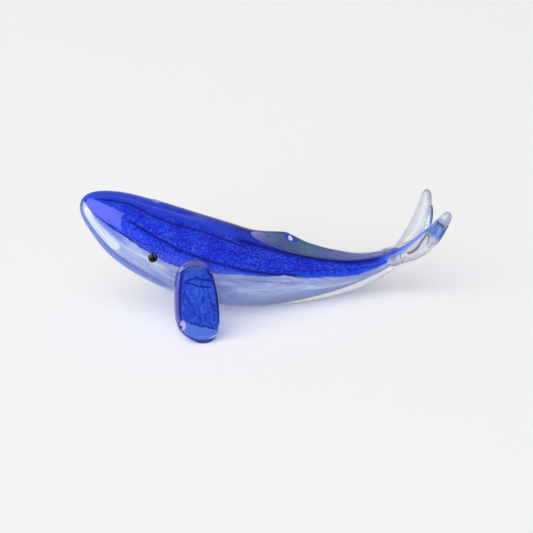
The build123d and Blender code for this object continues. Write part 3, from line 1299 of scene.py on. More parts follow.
@dataclass(frozen=True)
class Spine:
    """Centre line and girth of the whale's body."""

    length: float = 165 * MM
    half_girth: float = 20.2 * MM
    head_lift: float = 60 * MM
    rest_depth: float = 0.4 * MM
    rest_share: float = 0.610
    nearby: float = 0.02
    samples: int = 401
    rows: Rows = (
        (0.000, 1.063, 0.0),
        (0.0036, 1.011, 0.136),
        (0.012, 0.953, 0.261),
        (0.032, 0.860, 0.421),
        (0.074, 0.712, 0.618),
        (0.105, 0.605, 0.735),
        (0.138, 0.504, 0.819),
        (0.177, 0.412, 0.892),
        (0.223, 0.322, 0.936),
        (0.274, 0.231, 0.976),
        (0.344, 0.130, 1.000),
        (0.414, 0.063, 0.979),
        (0.486, 0.024, 0.899),
        (0.558, 0.003, 0.810),
        (0.631, 0.000, 0.713),
        (0.705, 0.013, 0.612),
        (0.779, 0.050, 0.493),
        (0.854, 0.119, 0.363),
        (0.903, 0.188, 0.288),
        (0.940, 0.242, 0.244),
        (0.971, 0.293, 0.207),
        (0.990, 0.352, 0.135),
        (1.000, 0.408, 0.0),
    )

    def radius(self, along: float) -> float:
        """Half of the body's girth at a share of its length."""
        return eased(self.rows, along)[1] * self.half_girth

    def centre(self, along: float) -> Vector:
        """Finds the middle of the body at a share of its length.

        Args:
            along: Share of the body's length.

        Returns:
            The place.
        """
        lift, girth = eased(self.rows, along)
        rise = lift * self.head_lift + girth * self.half_girth - self.rest_depth
        return Vector(((along - self.rest_share) * self.length, 0, rise))

    def heading(self, along: float) -> Vector:
        """Finds which way the body runs at a share of its length.

        Args:
            along: Share of the body's length.

        Returns:
            The direction, toward the tail.
        """
        ahead = self.centre(min(along + self.nearby, 1.0))
        return (ahead - self.centre(max(along - self.nearby, 0.0))).normalized()

    def up(self, along: float) -> Vector:
        """Direction of the crest of the back at a share of the length."""
        return self.heading(along).cross(ASIDE)

    def ring(self, along: float, share: float = 1.0, lift: float = 0.0, reach: float = 0.0) -> Ring:
        """Makes a section of the body, or of a layer inside it.

        Args:
            along: Share of the body's length.
            share: Share of the body's girth.
            lift: How far the crest is pulled up.
            reach: How far from the crest the pull is felt.

        Returns:
            The section.
        """
        half = self.radius(along) * share
        return Ring(self.centre(along), self.heading(along), ASIDE, half, half, ROUND, lift, reach)

    def unrolled(self, places: np.ndarray) -> tuple[np.ndarray, np.ndarray, np.ndarray, np.ndarray]:
        """Where points lie on the body, as if its centre line were straight.

        Args:
            places: One row for each point.

        Returns:
            Share of the length, distance along the line, and distances aside and up from it.
        """
        shares = np.linspace(0, 1, self.samples)
        line = np.array([self.centre(share)[:] for share in shares])
        run = np.concatenate(([0], np.cumsum(np.linalg.norm(np.diff(line, axis=0), axis=1))))
        tangents = np.gradient(line, axis=0)
        tangents /= np.linalg.norm(tangents, axis=1)[:, None]
        nearest = np.array([np.argmin((line[:, 0] - x) ** 2 + (line[:, 2] - z) ** 2) for x, _, z in places])
        offset = places - line[nearest]
        ahead = np.einsum("ij,ij->i", offset, tangents[nearest])
        up = -offset[:, 0] * tangents[nearest][:, 2] + offset[:, 2] * tangents[nearest][:, 0]
        along = shares[nearest] + ahead / run[-1]
        return along, run[nearest] + ahead, offset[:, 1], up


@dataclass
class GlassBody:
    """Clear outer glass of the body, drawn up into the dorsal fin, with its nub and bubble."""

    spine: Spine
    ring_points: int = 64
    fin_height: float = 5.4 * MM
    fin_reach: float = 7.5 * MM
    fin_rows: Rows = (
        (0.440, 0.0),
        (0.465, 0.22),
        (0.500, 0.52),
        (0.535, 0.84),
        (0.565, 1.00),
        (0.600, 0.80),
        (0.640, 0.50),
        (0.700, 0.28),
        (0.760, 0.16),
        (0.810, 0.0),
    )
    nub_share: float = 0.152
    nub_sizes: Vector = field(default_factory=lambda: Vector((3.2, 1.8, 1.8)) * MM)
    bubble_share: float = 0.572
    bubble_sizes: Vector = field(default_factory=lambda: Vector((4.4, 2.2, 2.2)) * MM)
    nub_cloud: float = 0.85
    nub_heart: float = 0.2 * MM
    nub_reach: float = 0.9 * MM
    nub_fade: float = 1.7
    head_end: float = 0.30
    head_fade: float = 0.16
    crest_start: float = 0.1
    crest_fade: float = 0.5
    least_radius: float = 0.1 * MM

    def fin_lift(self, along: float) -> float:
        """Finds how high the fin stands over the back.

        Args:
            along: Share of the body's length.

        Returns:
            The height.
        """
        if not self.fin_rows[0][0] < along < self.fin_rows[-1][0]:
            return 0.0
        return eased(self.fin_rows, along)[0] * self.fin_height

    def crest(self, along: float, height: float) -> tuple[Vector, Matrix]:
        """Finds a place over the crest of the back.

        Args:
            along: Share of the body's length.
            height: Height over the back.

        Returns:
            The place, and the directions along, across and up there, as columns.
        """
        heading, up = self.spine.heading(along), self.spine.up(along)
        place = self.spine.centre(along) + up * (self.spine.radius(along) + height)
        return place, Matrix((heading, up.cross(heading), up)).transposed()

    def build(self) -> Piece:
        """Builds the outer glass.

        Returns:
            The piece.
        """
        stations = sorted({row[0] for row in (*self.spine.rows[1:-1], *self.fin_rows)})
        rings = [self.spine.ring(along, 1.0, self.fin_lift(along), self.fin_reach) for along in stations]
        tips = self.spine.centre(0.0), self.spine.centre(1.0)
        glass = draw_form("glass_body", rings, tips, self.ring_points)
        work_in(glass, bead("nub", *self.crest(self.nub_share, 0.0), self.nub_sizes), "UNION")
        bubble = bead("bubble", *self.crest(self.bubble_share, self.fin_height / 2), self.bubble_sizes)
        work_in(glass, bubble, "DIFFERENCE")
        grind_flat(glass)
        settle(glass)
        self.note_places(glass)
        return glass

    def note_places(self, glass: Piece) -> None:
        """Keeps how near each point is to the nub, the head and the crest of the back.

        Args:
            glass: The finished outer glass.
        """
        places = points_of(glass)
        nub = np.array(self.crest(self.nub_share, self.nub_heart)[0])
        away = np.linalg.norm(places - nub, axis=1) / self.nub_reach
        store(glass, "cloud", np.clip(self.nub_fade - away, 0, self.nub_cloud))
        along, _, aside, up = self.spine.unrolled(places)
        store(glass, "head", np.clip((self.head_end - along) / self.head_fade, 0, 1))
        height = up / np.maximum(np.hypot(aside, up), self.least_radius)
        store(glass, "crest", np.clip((height - self.crest_start) / self.crest_fade, 0, 1))


@dataclass
class RidgeVein:
    """Grey-green form inside the fin and the ridge of the tail, put where the clear glass only shows darker
    surroundings: painted shade.
    """

    spine: Spine
    body: GlassBody
    half_width: float = 2.3 * MM
    end_length: float = 2 * MM
    ring_points: int = 24
    rows: Rows = (
        (0.455, 0.700, 0.960, 0.25),
        (0.475, 0.690, 0.965, 0.55),
        (0.500, 0.660, 0.965, 0.80),
        (0.535, 0.630, 0.965, 1.00),
        (0.565, 0.600, 0.965, 1.05),
        (0.600, 0.580, 0.960, 1.00),
        (0.640, 0.550, 0.950, 0.90),
        (0.700, 0.500, 0.940, 0.75),
        (0.760, 0.450, 0.930, 0.60),
        (0.820, 0.420, 0.920, 0.50),
        (0.880, 0.400, 0.900, 0.40),
        (0.930, 0.380, 0.850, 0.25),
    )

    def build(self) -> Piece:
        """Builds the painted shade between the colour layer and the crest of the glass.

        Returns:
            The piece.
        """
        rings = []
        for along, low, high, width in self.rows:
            radius = self.spine.radius(along)
            bottom, top = radius * low, (radius + self.body.fin_lift(along)) * high
            centre = self.spine.centre(along) + self.spine.up(along) * (bottom + top) / 2
            halves = width * self.half_width, (top - bottom) / 2
            rings.append(Ring(centre, self.spine.heading(along), ASIDE, *halves))
        first = rings[0].centre - rings[0].facing * self.end_length
        last = rings[-1].centre + rings[-1].facing * self.end_length
        vein = draw_form("ridge_vein", rings, (first, last), self.ring_points)
        self.note_places(vein)
        return vein

    def note_places(self, vein: Piece) -> None:
        """Keeps where each point lies along the shade, between its lower and upper edge, and across it.

        Args:
            vein: The finished shade.
        """
        places, lows, highs, _ = np.array(self.rows).T
        along, _, aside, up = self.spine.unrolled(points_of(vein))
        radius = np.array([self.spine.radius(share) for share in along])
        lift = np.array([self.body.fin_lift(share) for share in along])
        bottom = radius * np.interp(along, places, lows)
        top = (radius + lift) * np.interp(along, places, highs)
        height = (2 * up - top - bottom) / (top - bottom)
        store(vein, "vein", (along - places[0]) / (places[-1] - places[0]), height, aside / self.half_width)


@dataclass(frozen=True)
class Thread:
    """Dark thread drawn along the body in the colour layer."""

    rows: Rows
    half_width: float = 0.45 * MM
    share: float = 1.0
    fade: float = 0.03

    def strength(self, along: np.ndarray, angle: np.ndarray, radius: np.ndarray) -> np.ndarray:
        """How much of the thread shows at points of the layer.

        Args:
            along: Share of the body's length of each point.
            angle: Its angle over the middle of the section, in degrees.
            radius: Its distance from the centre line.

        Returns:
            A share for each point.
        """
        places, angles = np.array(self.rows).T
        offset = np.radians(angle - np.interp(along, places, angles)) * radius
        start = np.clip((along - places[0]) / self.fade, 0, 1)
        end = np.clip((places[-1] - along) / self.fade, 0, 1)
        return np.exp(-((offset / self.half_width) ** 2)) * start * end * self.share


@dataclass
class ColourLayers:
    """Powdered back and milky belly, two shells between the core and the clear glass."""

    spine: Spine
    thickness: float = 1.0 * MM
    ring_points: int = 64
    overlap: float = 0.008
    grain_girth: float = 14 * MM
    least_girth: float = 3 * MM
    samples: int = 101
    rows: Rows = (
        (0.014, 0.0),
        (0.018, 0.30),
        (0.032, 0.55),
        (0.074, 0.63),
        (0.105, 0.675),
        (0.138, 0.70),
        (0.177, 0.71),
        (0.223, 0.72),
        (0.274, 0.73),
        (0.344, 0.73),
        (0.414, 0.71),
        (0.486, 0.67),
        (0.558, 0.62),
        (0.631, 0.57),
        (0.705, 0.51),
        (0.779, 0.46),
        (0.854, 0.42),
        (0.903, 0.40),
        (0.940, 0.32),
        (0.962, 0.0),
    )
    colour_line: Rows = (
        (0.000, -19.0),
        (0.040, -19.0),
        (0.068, -17.0),
        (0.100, -11.0),
        (0.127, -8.0),
        (0.178, -11.0),
        (0.253, -13.0),
        (0.300, -7.0),
        (0.355, 0.0),
        (0.444, 9.0),
        (0.568, 17.0),
        (0.698, 11.0),
        (0.788, 2.0),
        (0.874, 5.0),
        (1.000, 15.0),
    )
    stretch_rows: Rows = ((0.0, 1.0), (0.25, 1.1), (0.5, 1.8), (0.75, 4.0), (1.0, 7.0))
    threads: tuple[Thread, ...] = (
        Thread(
            (
                (0.02, 66.0),
                (0.09, 72.0),
                (0.14, 63.0),
                (0.205, 58.0),
                (0.28, 64.0),
                (0.36, 62.0),
                (0.45, 56.0),
            )
        ),
        Thread(
            ((0.085, 28.0), (0.131, 26.0), (0.208, 20.0), (0.244, 17.0), (0.32, 18.0), (0.40, 18.0)), 0.6 * MM
        ),
        Thread(((0.36, 18.0), (0.433, 17.0), (0.50, 18.0), (0.567, 20.0), (0.62, 19.0)), 0.75 * MM),
        Thread(((0.014, -16.0), (0.042, -18.0), (0.068, -16.0), (0.10, -10.0), (0.127, -6.0), (0.19, -9.0))),
        Thread(
            (
                (0.38, 68.0),
                (0.472, 72.0),
                (0.541, 75.0),
                (0.610, 79.0),
                (0.677, 77.0),
                (0.743, 75.0),
                (0.811, 71.0),
                (0.90, 64.0),
            ),
            1.4 * MM,
            0.9,
        ),
        Thread(
            ((0.40, 30.0), (0.482, 28.0), (0.574, 29.0), (0.706, 39.0), (0.823, 31.0), (0.90, 27.0)),
            0.5 * MM,
            0.45,
        ),
        Thread(
            ((0.16, 27.0), (0.234, 34.0), (0.318, 40.0), (0.41, 44.0), (0.506, 47.0), (0.61, 47.0)),
            0.5 * MM,
            0.4,
        ),
    )
    # Glare and painted highlight: white streaks painted into the belly in place of the bright floor's
    # reflection in the glass.
    glare: tuple[Thread, ...] = (
        Thread(((0.014, -45.0), (0.03, -47.0), (0.05, -50.0), (0.08, -51.0)), 1.9 * MM, fade=0.012),
        Thread(((0.040, -50.0), (0.07, -51.0), (0.10, -50.0), (0.135, -45.0)), 3.1 * MM, fade=0.02),
    )
    # Painted highlights along the belly.
    frost: tuple[Thread, ...] = (
        Thread(((0.14, -34.0), (0.17, -24.0), (0.20, -24.0), (0.26, -30.0)), 0.7 * MM, 0.6),
        Thread(((0.60, -20.0), (0.72, -26.0), (0.82, -24.0)), 0.5 * MM, 0.3),
    )
    haze: tuple[Thread, ...] = (
        Thread(((0.03, -22.0), (0.07, -23.0), (0.10, -20.0), (0.14, -16.0)), 1.8 * MM, 0.8),
        Thread(((0.04, -41.0), (0.08, -42.0), (0.11, -42.0)), 0.22 * MM, 0.7),
        Thread(((0.04, -56.0), (0.08, -58.0), (0.11, -55.0)), 0.22 * MM, 0.7),
    )

    def build(self) -> tuple[Piece, Piece]:
        """Builds the two shells.

        Returns:
            The back and the belly.
        """
        rings = [self.spine.ring(along, share) for along, share in self.rows[1:-1]]
        tips = self.spine.centre(self.rows[0][0]), self.spine.centre(self.rows[-1][0])
        back = draw_form("back_powder", rings, tips, self.ring_points)
        belly = copied(back, "belly_milk")
        for shell, sign in ((back, 1), (belly, -1)):
            _, _, aside, up = self.spine.unrolled(points_of(shell))
            mark_points(shell, up * sign < -self.overlap * np.hypot(aside, up))
            with editing(shell):
                bpy.ops.mesh.delete(type="VERT")
            press(shell, "SOLIDIFY", thickness=self.thickness, offset=-1)
            self.note_places(shell)
        return back, belly

    def note_places(self, shell: Piece) -> None:
        """Keeps where each point lies along and around the body, and what is drawn there.

        Args:
            shell: The finished back or belly.
        """
        along, _, aside, up = self.spine.unrolled(points_of(shell))
        radius = np.hypot(aside, up)
        angle = np.degrees(np.arctan2(up, np.abs(aside)))
        line = np.interp(along, *np.array(self.colour_line).T)
        store(shell, "along", along)
        store(shell, "angle", angle)
        store(shell, "above_line", np.radians(angle - line) * radius / MM)
        marks = {"threads": self.threads, "glare": self.glare, "frost": self.frost, "haze": self.haze}
        for name, lines in marks.items():
            store(shell, name, np.max([line.strength(along, angle, radius) for line in lines], axis=0))
        shares = np.linspace(0, 1, self.samples)
        pace = self.spine.length / np.interp(shares, *np.array(self.stretch_rows).T)
        drawn = np.concatenate(([0], np.cumsum((pace[1:] + pace[:-1]) / 2 * np.diff(shares))))
        widen = np.sqrt(self.grain_girth / np.maximum(radius, self.least_girth))
        store(shell, "grain", np.interp(along, shares, drawn), aside * widen, up * widen)


@dataclass
class Flipper:
    """Left flipper: a flat paddle of blue glass in a clear skin."""

    spine: Spine
    width: float = 20.4 * MM
    thickness: float = 6.8 * MM
    skin: float = 0.9 * MM
    side_share: float = 0.5
    squareness: Rows = ((0.03, 3.0), (0.15, 9.0), (0.80, 9.0), (0.94, 3.0))
    face_turn: float = 1.0
    shoulder_share: float = 0.291
    shoulder_rise: float = 36.5 * MM
    shoulder_sink: float = 3.6 * MM
    spread: float = 16.8 * MM
    sweep: float = 1.5 * MM
    toe_gap: float = 0.3 * MM
    head_share: float = 0.01
    root_end: float = 0.15
    root_fade: float = 0.10
    root_cloud: float = 0.16
    skin_dome: Rows = ((0.030, 0.35), (0.045, 0.62), (0.07, 0.84), (0.11, 0.97), (0.15, 1.0))
    core_dome: Rows = ((0.105, 0.30), (0.120, 0.55), (0.145, 0.78), (0.18, 0.94), (0.22, 1.0))
    ring_points: int = 32
    rows: Rows = (
        (-0.040, 0.02, 0.26, 0.45),
        (0.010, 0.02, 0.46, 0.62),
        (0.090, 0.01, 0.66, 0.80),
        (0.180, 0.00, 0.80, 0.90),
        (0.290, 0.01, 0.91, 0.97),
        (0.470, 0.03, 0.99, 1.00),
        (0.650, 0.04, 1.00, 1.00),
        (0.770, 0.05, 0.97, 0.98),
        (0.855, 0.11, 0.87, 0.92),
        (0.930, 0.22, 0.64, 0.78),
        (0.975, 0.28, 0.38, 0.54),
        (0.994, 0.30, 0.17, 0.27),
        (1.000, 0.30, 0.0, 0.0),
    )

    def ends(self) -> tuple[Vector, Vector]:
        """Finds the ends of the paddle's middle line.

        Returns:
            The root and the tip.
        """
        shoulder = self.spine.centre(self.shoulder_share)
        aside = self.spine.radius(self.shoulder_share) - self.shoulder_sink
        root = Vector((shoulder.x, -aside, self.shoulder_rise))
        return root, Vector((shoulder.x - self.sweep, -aside - self.spread, -self.spine.rest_depth))

    def form(self, name: str, skin: float, dome: Rows) -> Piece:
        """Draws the paddle's outside, or what lies inside its skin.

        Args:
            name: Name of the piece.
            skin: How far inside the outside it lies.
            dome: How it starts, as places along the paddle with shares of its size.

        Returns:
            The form, with its own directions kept as the attribute blade.
        """
        root, tip = self.ends()
        run = tip - root
        cap = 1 - (skin + (self.toe_gap if skin else 0.0)) / run.length
        turn = math.radians(self.face_turn)
        sideways = Vector((math.cos(turn), math.sin(turn), 0))
        rings = []
        for along in sorted({row[0] for row in (*dome, *self.rows[:-1]) if row[0] >= dome[0][0]}):
            shift, width, thickness = eased(self.rows, along)
            share = float(np.interp(along, *np.array(dome).T))
            squareness = float(np.interp(along, *np.array(self.squareness).T))
            half_width = (width * self.width / 2 - skin * self.side_share) * share
            half_thickness = (thickness * self.thickness / 2 - skin) * share
            if min(half_width, half_thickness) <= 0:
                continue
            centre = root + run * min(along, cap) + Vector((shift * self.width / 2, 0, 0))
            rings.append(Ring(centre, run, sideways, half_width, half_thickness, squareness))
        toe = root + run * cap + Vector((self.rows[-1][1] * self.width / 2, 0, 0))
        head = rings[0].centre - run * self.head_share
        paddle = draw_form(name, rings, (head, toe), self.ring_points)
        self.note_places(paddle)
        return paddle

    def note_places(self, paddle: Piece) -> None:
        """Keeps where each point lies across, down and through the paddle, and how near to its rim.

        Args:
            paddle: The finished form.
        """
        root, tip = self.ends()
        run = tip - root
        down = run.normalized()
        through = down.cross(Vector((1, 0, 0)))
        offset = points_of(paddle) - np.array(root)
        across = offset[:, 0] / (self.width / 2)
        depth = offset @ np.array(down) / run.length
        store(paddle, "blade", across, depth, offset @ np.array(through) / (self.thickness / 2))
        facing = np.array([vertex.normal[:] for vertex in paddle.data.vertices]) @ np.array(through)
        store(paddle, "rim", 1 - np.abs(facing))

    def build(self) -> tuple[Piece, Piece]:
        """Builds the left skin, a little cloudy at its root, and the blue glass inside it.

        Returns:
            The skin and the blue.
        """
        glass = self.form("left_flipper_glass", 0.0, self.skin_dome)
        grind_flat(glass)
        settle(glass)
        root, tip = self.ends()
        down = (points_of(glass) - np.array(root)) @ np.array((tip - root) / (tip - root).length_squared)
        store(glass, "cloud", np.clip((self.root_end - down) / self.root_fade, 0, 1) * self.root_cloud)
        return glass, self.form("left_flipper_blue", self.skin, self.core_dome)


@dataclass
class Fluke:
    """Left lobe of the tail, clear glass with a blue streak and a knob for a tip.

    The right one is the same lobe turned over, with a fuller rear and a streak of its own.
    """

    spine: Spine
    reach: float = 25 * MM
    rise: float = 29 * MM
    spread: float = 15 * MM
    width: float = 14.6 * MM
    thickness: float = 6.4 * MM
    gap: float = 0.3 * MM
    root_share: float = 0.900
    ring_points: int = 32
    streak_points: int = 16
    root_length: float = 1.5 * MM
    nearby: float = 0.5
    tip_gap: float = 0.01
    samples: int = 81
    least_pace: float = 0.1 * MM
    rows: Rows = (
        (0.00, 0.01, 0.000, 0.30, 0.70),
        (0.20, 0.02, 0.065, 0.38, 0.84),
        (0.39, 0.00, 0.135, 0.62, 1.04),
        (0.59, 0.01, 0.290, 0.92, 1.02),
        (0.80, 0.21, 0.540, 0.96, 0.94),
        (0.92, 0.56, 0.770, 0.62, 0.84),
        (0.98, 0.78, 0.925, 0.385, 0.82),
        (0.995, 0.87, 0.985, 0.26, 0.56),
        (1.000, 1.00, 1.010, 0.0, 0.0),
    )
    near_streak: Rows = (
        (0.3, 55.0, 0.70, 2.2),
        (1.0, 55.0, 0.80, 2.1),
        (2.0, 55.0, 0.90, 1.5),
        (3.0, 55.0, 1.00, 1.0),
        (4.0, 60.0, 1.00, 0.7),
        (4.4, 60.0, 1.00, 0.4),
    )
    far_streak: Rows = (
        (3.7, -40.0, 1.0, 0.4),
        (4.0, -42.0, 1.0, 0.6),
        (4.5, -45.0, 0.88, 1.0),
        (4.9, -45.0, 0.80, 1.2),
        (5.2, -45.0, 0.75, 0.6),
    )
    fuller_rows: Rows = ((2.0, 0.0), (3.0, 0.6), (4.0, 1.1), (5.0, 0.5), (6.0, 0.0))

    def row(self, place: float) -> list[float]:
        """Shares of the lobe at a place among its rows."""
        return eased(tuple((float(n), *row) for n, row in enumerate(self.rows)), place)

    def middle(self, place: float) -> Vector:
        """Finds the middle of the lobe at a place among its rows.

        Args:
            place: Number of a row, or a place between two.

        Returns:
            The middle there.
        """
        reach, spread, rise, width = self.row(place)[:4]
        aside = self.gap / 2 + spread * self.spread + width * self.width / 2
        root = self.spine.centre(self.root_share)
        return root + Vector((reach * self.reach, -aside, rise * self.rise))

    def ring(self, place: float, fuller: float = 0.0) -> Ring:
        """Makes a section of the lobe.

        Args:
            place: Number of a row, or a place between two.
            fuller: Share of the fuller rear that it gets.

        Returns:
            The section.
        """
        last = len(self.rows) - 1
        run = self.middle(min(place + self.nearby, last)) - self.middle(max(place - self.nearby, 0))
        width, thickness = self.row(place)[3:]
        halves = width * self.width / 2, thickness * self.thickness / 2
        ring = Ring(self.middle(place), run, across_of(run), *halves)
        more = fuller * np.interp(place, *np.array(self.fuller_rows).T) * MM
        return replace(ring, centre=ring.centre - ring.up * more, half_height=ring.half_height + more)

    def lobe(self, name: str, near: float) -> Piece:
        """Builds a lobe on the left side.

        Args:
            name: Name of the piece.
            near: 1 for the seamed lobe, 0 for the plain and fuller one.

        Returns:
            The lobe.
        """
        last = len(self.rows) - 1
        rings = [self.ring(float(number), 1 - near) for number in range(last)]
        head = rings[0].centre - Vector((self.root_length, 0, 0))
        lobe = draw_form(name, rings, (head, self.middle(last)), self.ring_points)
        self.note_places(lobe, near)
        return lobe

    def streak(self, name: str, rows: Rows, fuller: float) -> Piece:
        """Builds a streak of blue glass on a lobe of the left side.

        Args:
            name: Name of the piece.
            rows: Places among the lobe's rows, each with the angle around the lobe, the share of its
                girth and the half width in millimetres.
            fuller: 1 on the fuller lobe.

        Returns:
            The streak.
        """
        centres = []
        for place, angle, share, _ in rows:
            ring = self.ring(place, fuller)
            turn = math.radians(angle)
            aside = ring.across * math.cos(turn) * ring.half_width
            over = ring.up * math.sin(turn) * ring.half_height
            centres.append(ring.centre + (aside + over) * share)
        rings = []
        for number in range(1, len(rows) - 1):
            run = centres[number + 1] - centres[number - 1]
            half = rows[number][3] * MM
            rings.append(Ring(centres[number], run, across_of(run), half, half))
        streak = draw_form(name, rings, (centres[0], centres[-1]), self.streak_points)
        self.note_places(streak, 0.0)
        return streak

    def note_places(self, piece: Piece, near: float) -> None:
        """Keeps where each point lies along and across the lobe.

        Args:
            piece: The finished lobe or streak.
            near: 1 for the seamed lobe, 0 for anything else.
        """
        places = np.linspace(0, len(self.rows) - 1, self.samples)
        rings = [self.ring(min(place, places[-1] - self.tip_gap)) for place in places]
        line = np.array([ring.centre[:] for ring in rings])
        points = points_of(piece)
        nearest = np.array([np.argmin(((line - point) ** 2).sum(axis=1)) for point in points])
        aheads = np.array([rings[at].facing.normalized()[:] for at in nearest])
        paces = np.linalg.norm(np.gradient(line, axis=0), axis=1)[nearest]
        offset = points - line[nearest]
        ahead = np.einsum("ij,ij->i", offset, aheads) / np.maximum(paces, self.least_pace)
        along = (nearest + np.clip(ahead, -1, 1)) / (len(places) - 1)
        across = [
            rings[at].across.dot(Vector(away)) / max(rings[at].half_width, MM)
            for at, away in zip(nearest, offset)
        ]
        store(piece, "lobe", along, np.array(across), np.full(len(along), near))

    def build(self) -> tuple[Piece, ...]:
        """Builds both lobes and their streaks.

        Returns:
            The left lobe and streak, then the right ones.
        """
        right_lobe = turned_over(self.lobe("right_fluke_glass", 0.0))
        right_streak = turned_over(self.streak("right_fluke_blue", self.far_streak, 1.0))
        left_lobe = self.lobe("left_fluke_glass", 1.0)
        left_streak = self.streak("left_fluke_blue", self.near_streak, 0.0)
        return left_lobe, left_streak, right_lobe, right_streak


@dataclass
class Eye:
    """Left eye, a drop of black glass drawn up to a slight peak."""

    spine: Spine
    diameter: float = 4.3 * MM
    sink: float = 0.7 * MM
    sideways: Vector = field(default_factory=lambda: Vector((0.970, -0.242, 0.0)))
    upward: Vector = field(default_factory=lambda: Vector((0.102, 0.410, 0.906)))
    peak: float = 0.8 * MM
    peak_reach: float = 1.9 * MM
    along_share: float = 0.187
    drop_angle: float = 10.0

    def build(self) -> Piece:
        """Builds the left eye.

        Returns:
            The piece.
        """
        up = self.spine.up(self.along_share)
        reach = self.spine.radius(self.along_share) - self.sink
        angle = math.radians(self.drop_angle)
        out = Vector((0, -1, 0)) * math.cos(angle) - up * math.sin(angle)
        centre = self.spine.centre(self.along_share) + out * reach
        eye = bead("left_eye_bead", centre, Matrix.Identity(3), Vector((1, 1, 1)) * self.diameter)
        pull_top(eye, points_of(eye)[:, 2], Vector((0, 0, self.peak)), self.peak_reach, "SHARP")
        offset = (points_of(eye) - np.array(centre)) * 2 / self.diameter
        sides = (offset @ np.array(axis) for axis in (self.sideways, self.upward))
        store(eye, "bead", *sides, np.zeros(len(offset)))
        return eye


def toward(azimuth: float, elevation: float) -> Vector:
    """Direction from the whale at an azimuth from the front and an elevation, in degrees."""
    turn, tilt = math.radians(azimuth), math.radians(elevation)
    return Vector((math.sin(turn) * math.cos(tilt), -math.cos(turn) * math.cos(tilt), math.sin(tilt)))


def hang(item: bpy.types.Light | bpy.types.Camera, place: Vector, back: Vector) -> Piece:
    """Hangs a lamp or a camera in the studio.

    Args:
        item: The lamp or the camera.
        place: Where it hangs.
        back: Direction that it turns its back to.

    Returns:
        Its holder.
    """
    holder = bpy.data.objects.new(item.name, item)
    bpy.context.scene.collection.objects.link(holder)
    holder.location = place
    holder.rotation_euler = back.to_track_quat("Z", "Y").to_euler()
    return holder


@dataclass(frozen=True)
class Lamp:
    """Soft lamp that points at the whale, where a level of 1 shows a white surface white."""

    name: str
    azimuth: float
    elevation: float
    size: tuple[float, float]
    level: float
    distance: float = 12.0

    def light(self) -> None:
        """Hangs the lamp."""
        lamp = bpy.data.lights.new(self.name, "AREA")
        lamp.shape = "RECTANGLE"
        lamp.size, lamp.size_y = self.size
        lamp.energy = self.level * math.pi * self.size[0] * self.size[1]
        back = toward(self.azimuth, self.elevation)
        hang(lamp, back * self.distance, back)


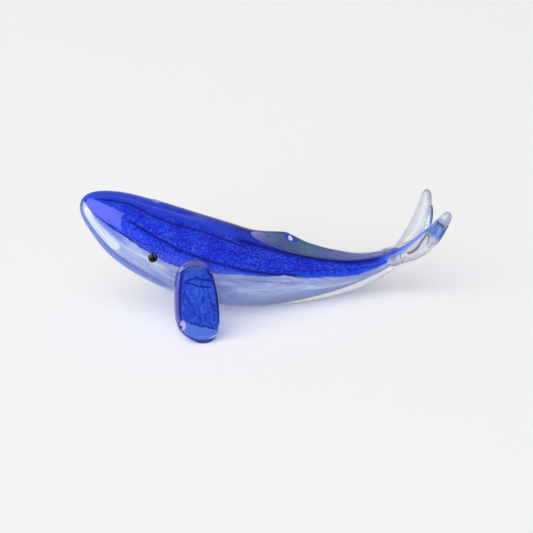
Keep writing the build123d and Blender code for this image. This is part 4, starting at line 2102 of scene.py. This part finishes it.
@dataclass
class Studio:
    """Floor, lamps, surroundings and camera."""

    floor_half: float = 3.0
    floor_drop: float = 0.05 * MM
    floor_points: int = 96
    azimuth: float = -14.0
    elevation: float = 25.0
    distance: float = 0.750
    lens: float = 103.4
    sensor: float = 36.0
    target: Vector = field(default_factory=lambda: Vector((-10.796, 9.969, 15.143)) * MM)
    lamps: tuple[Lamp, ...] = (
        Lamp("main softbox", -55.0, 40.0, (20.4, 18.0), 2.61),
        Lamp("rear softbox", 103.0, 14.0, (6.4, 4.0), 0.5),
    )
    front_levels: Range = (0.26, 0.2)
    front_rise: Range = (0.0, 0.2)
    back_levels: Range = (0.42, 0.2)
    back_rise: Range = (0.0, 0.34)
    turn_to_back: Range = (-0.3, 0.3)
    seen_level: float = 0.896
    seen_rise: Range = (0.4, 0.8)

    def build(self) -> None:
        """Builds the whole studio."""
        self.lay_floor()
        self.set_surroundings()
        for lamp in self.lamps:
            lamp.light()
        self.place_camera()

    def lay_floor(self) -> None:
        """Lays the pale floor."""
        bpy.ops.object.select_all(action="DESELECT")
        bpy.ops.mesh.primitive_circle_add(
            vertices=self.floor_points,
            radius=self.floor_half,
            fill_type="NGON",
            location=(0, 0, -self.floor_drop),
        )
        floor = named("floor")
        settle(floor)
        floor.data.materials.append(Paper().make())

    def set_surroundings(self) -> None:
        """Makes a dim room with a paler backdrop, which the camera and low views through glass see pale."""
        tray = Tray("studio", room=True)
        _, back, height = tray.parts(tray.add("ShaderNodeTexCoord").outputs["Generated"])
        front_level = tray.step(height, *self.front_rise, *self.front_levels)
        back_level = tray.step(height, *self.back_rise, *self.back_levels)
        room = tray.level(tray.step(back, *self.turn_to_back), front_level, back_level)
        camera, through = tray.rays("Camera", "Transmission")
        seen = tray.most(camera, tray.times(through, tray.step(height, *self.seen_rise, 1.0, 0.0)))
        strength = tray.level(seen, room, self.seen_level)
        bpy.context.scene.world = tray.finish(tray.shader("Background", {"Strength": strength}))

    def place_camera(self) -> None:
        """Places the camera at the photograph's angle."""
        camera = bpy.data.cameras.new("camera")
        camera.lens = self.lens
        camera.sensor_width = self.sensor
        back = toward(self.azimuth, self.elevation)
        bpy.context.scene.camera = hang(camera, self.target + back * self.distance, back)
        bpy.context.scene.view_settings.view_transform = "Standard"


def main() -> None:
    """Builds every piece of the whale and its studio, in order."""
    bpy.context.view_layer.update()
    spine = Spine()
    clear = ClearGlass().make()
    layered = PowderAndMilk().make()

    body = GlassBody(spine)
    dress(body.build(), clear, Slot.CLEAR, "body_casing", "dorsal_fin")
    dress(RidgeVein(spine, body).build(), VeinGlass().make(), Slot.CORE)
    back, belly = ColourLayers(spine).build()
    dress(back, layered, Slot.COBALT, "back_overlay")
    dress(belly, layered, Slot.OPAL, "belly_overlay")
    dress_node("body_core", CoreGlass().make())

    flipper_glass, flipper_blue = Flipper(spine).build()
    paired = (
        (flipper_glass, clear, Slot.CLEAR, "flipper_casing"),
        (flipper_blue, FlipperBlue().make(), Slot.FLIPPER, "flipper_core"),
        (Eye(spine).build(), BlackGlass().make(), Slot.BLACK, "eye"),
    )
    for piece, finish, slot, node in paired:
        twin = turned_over(copied(piece, piece.name.replace(Side.LEFT.word, Side.RIGHT.word)))
        dress(piece, finish, slot, f"{Side.LEFT.word}_{node}")
        dress(twin, finish, slot, f"{Side.RIGHT.word}_{node}")

    lobes = Fluke(spine).build()
    fluke_glass, streak_glass = FlukeGlass().make(), StreakGlass().make()
    for side, lobe, streak in zip(Side, lobes[::2], lobes[1::2]):
        dress(lobe, fluke_glass, Slot.CLEAR, f"{side.word}_fluke")
        dress(streak, streak_glass, Slot.COBALT, f"{side.word}_fluke_streak")

    Studio().build()


if __name__ == "__main__":
    main()
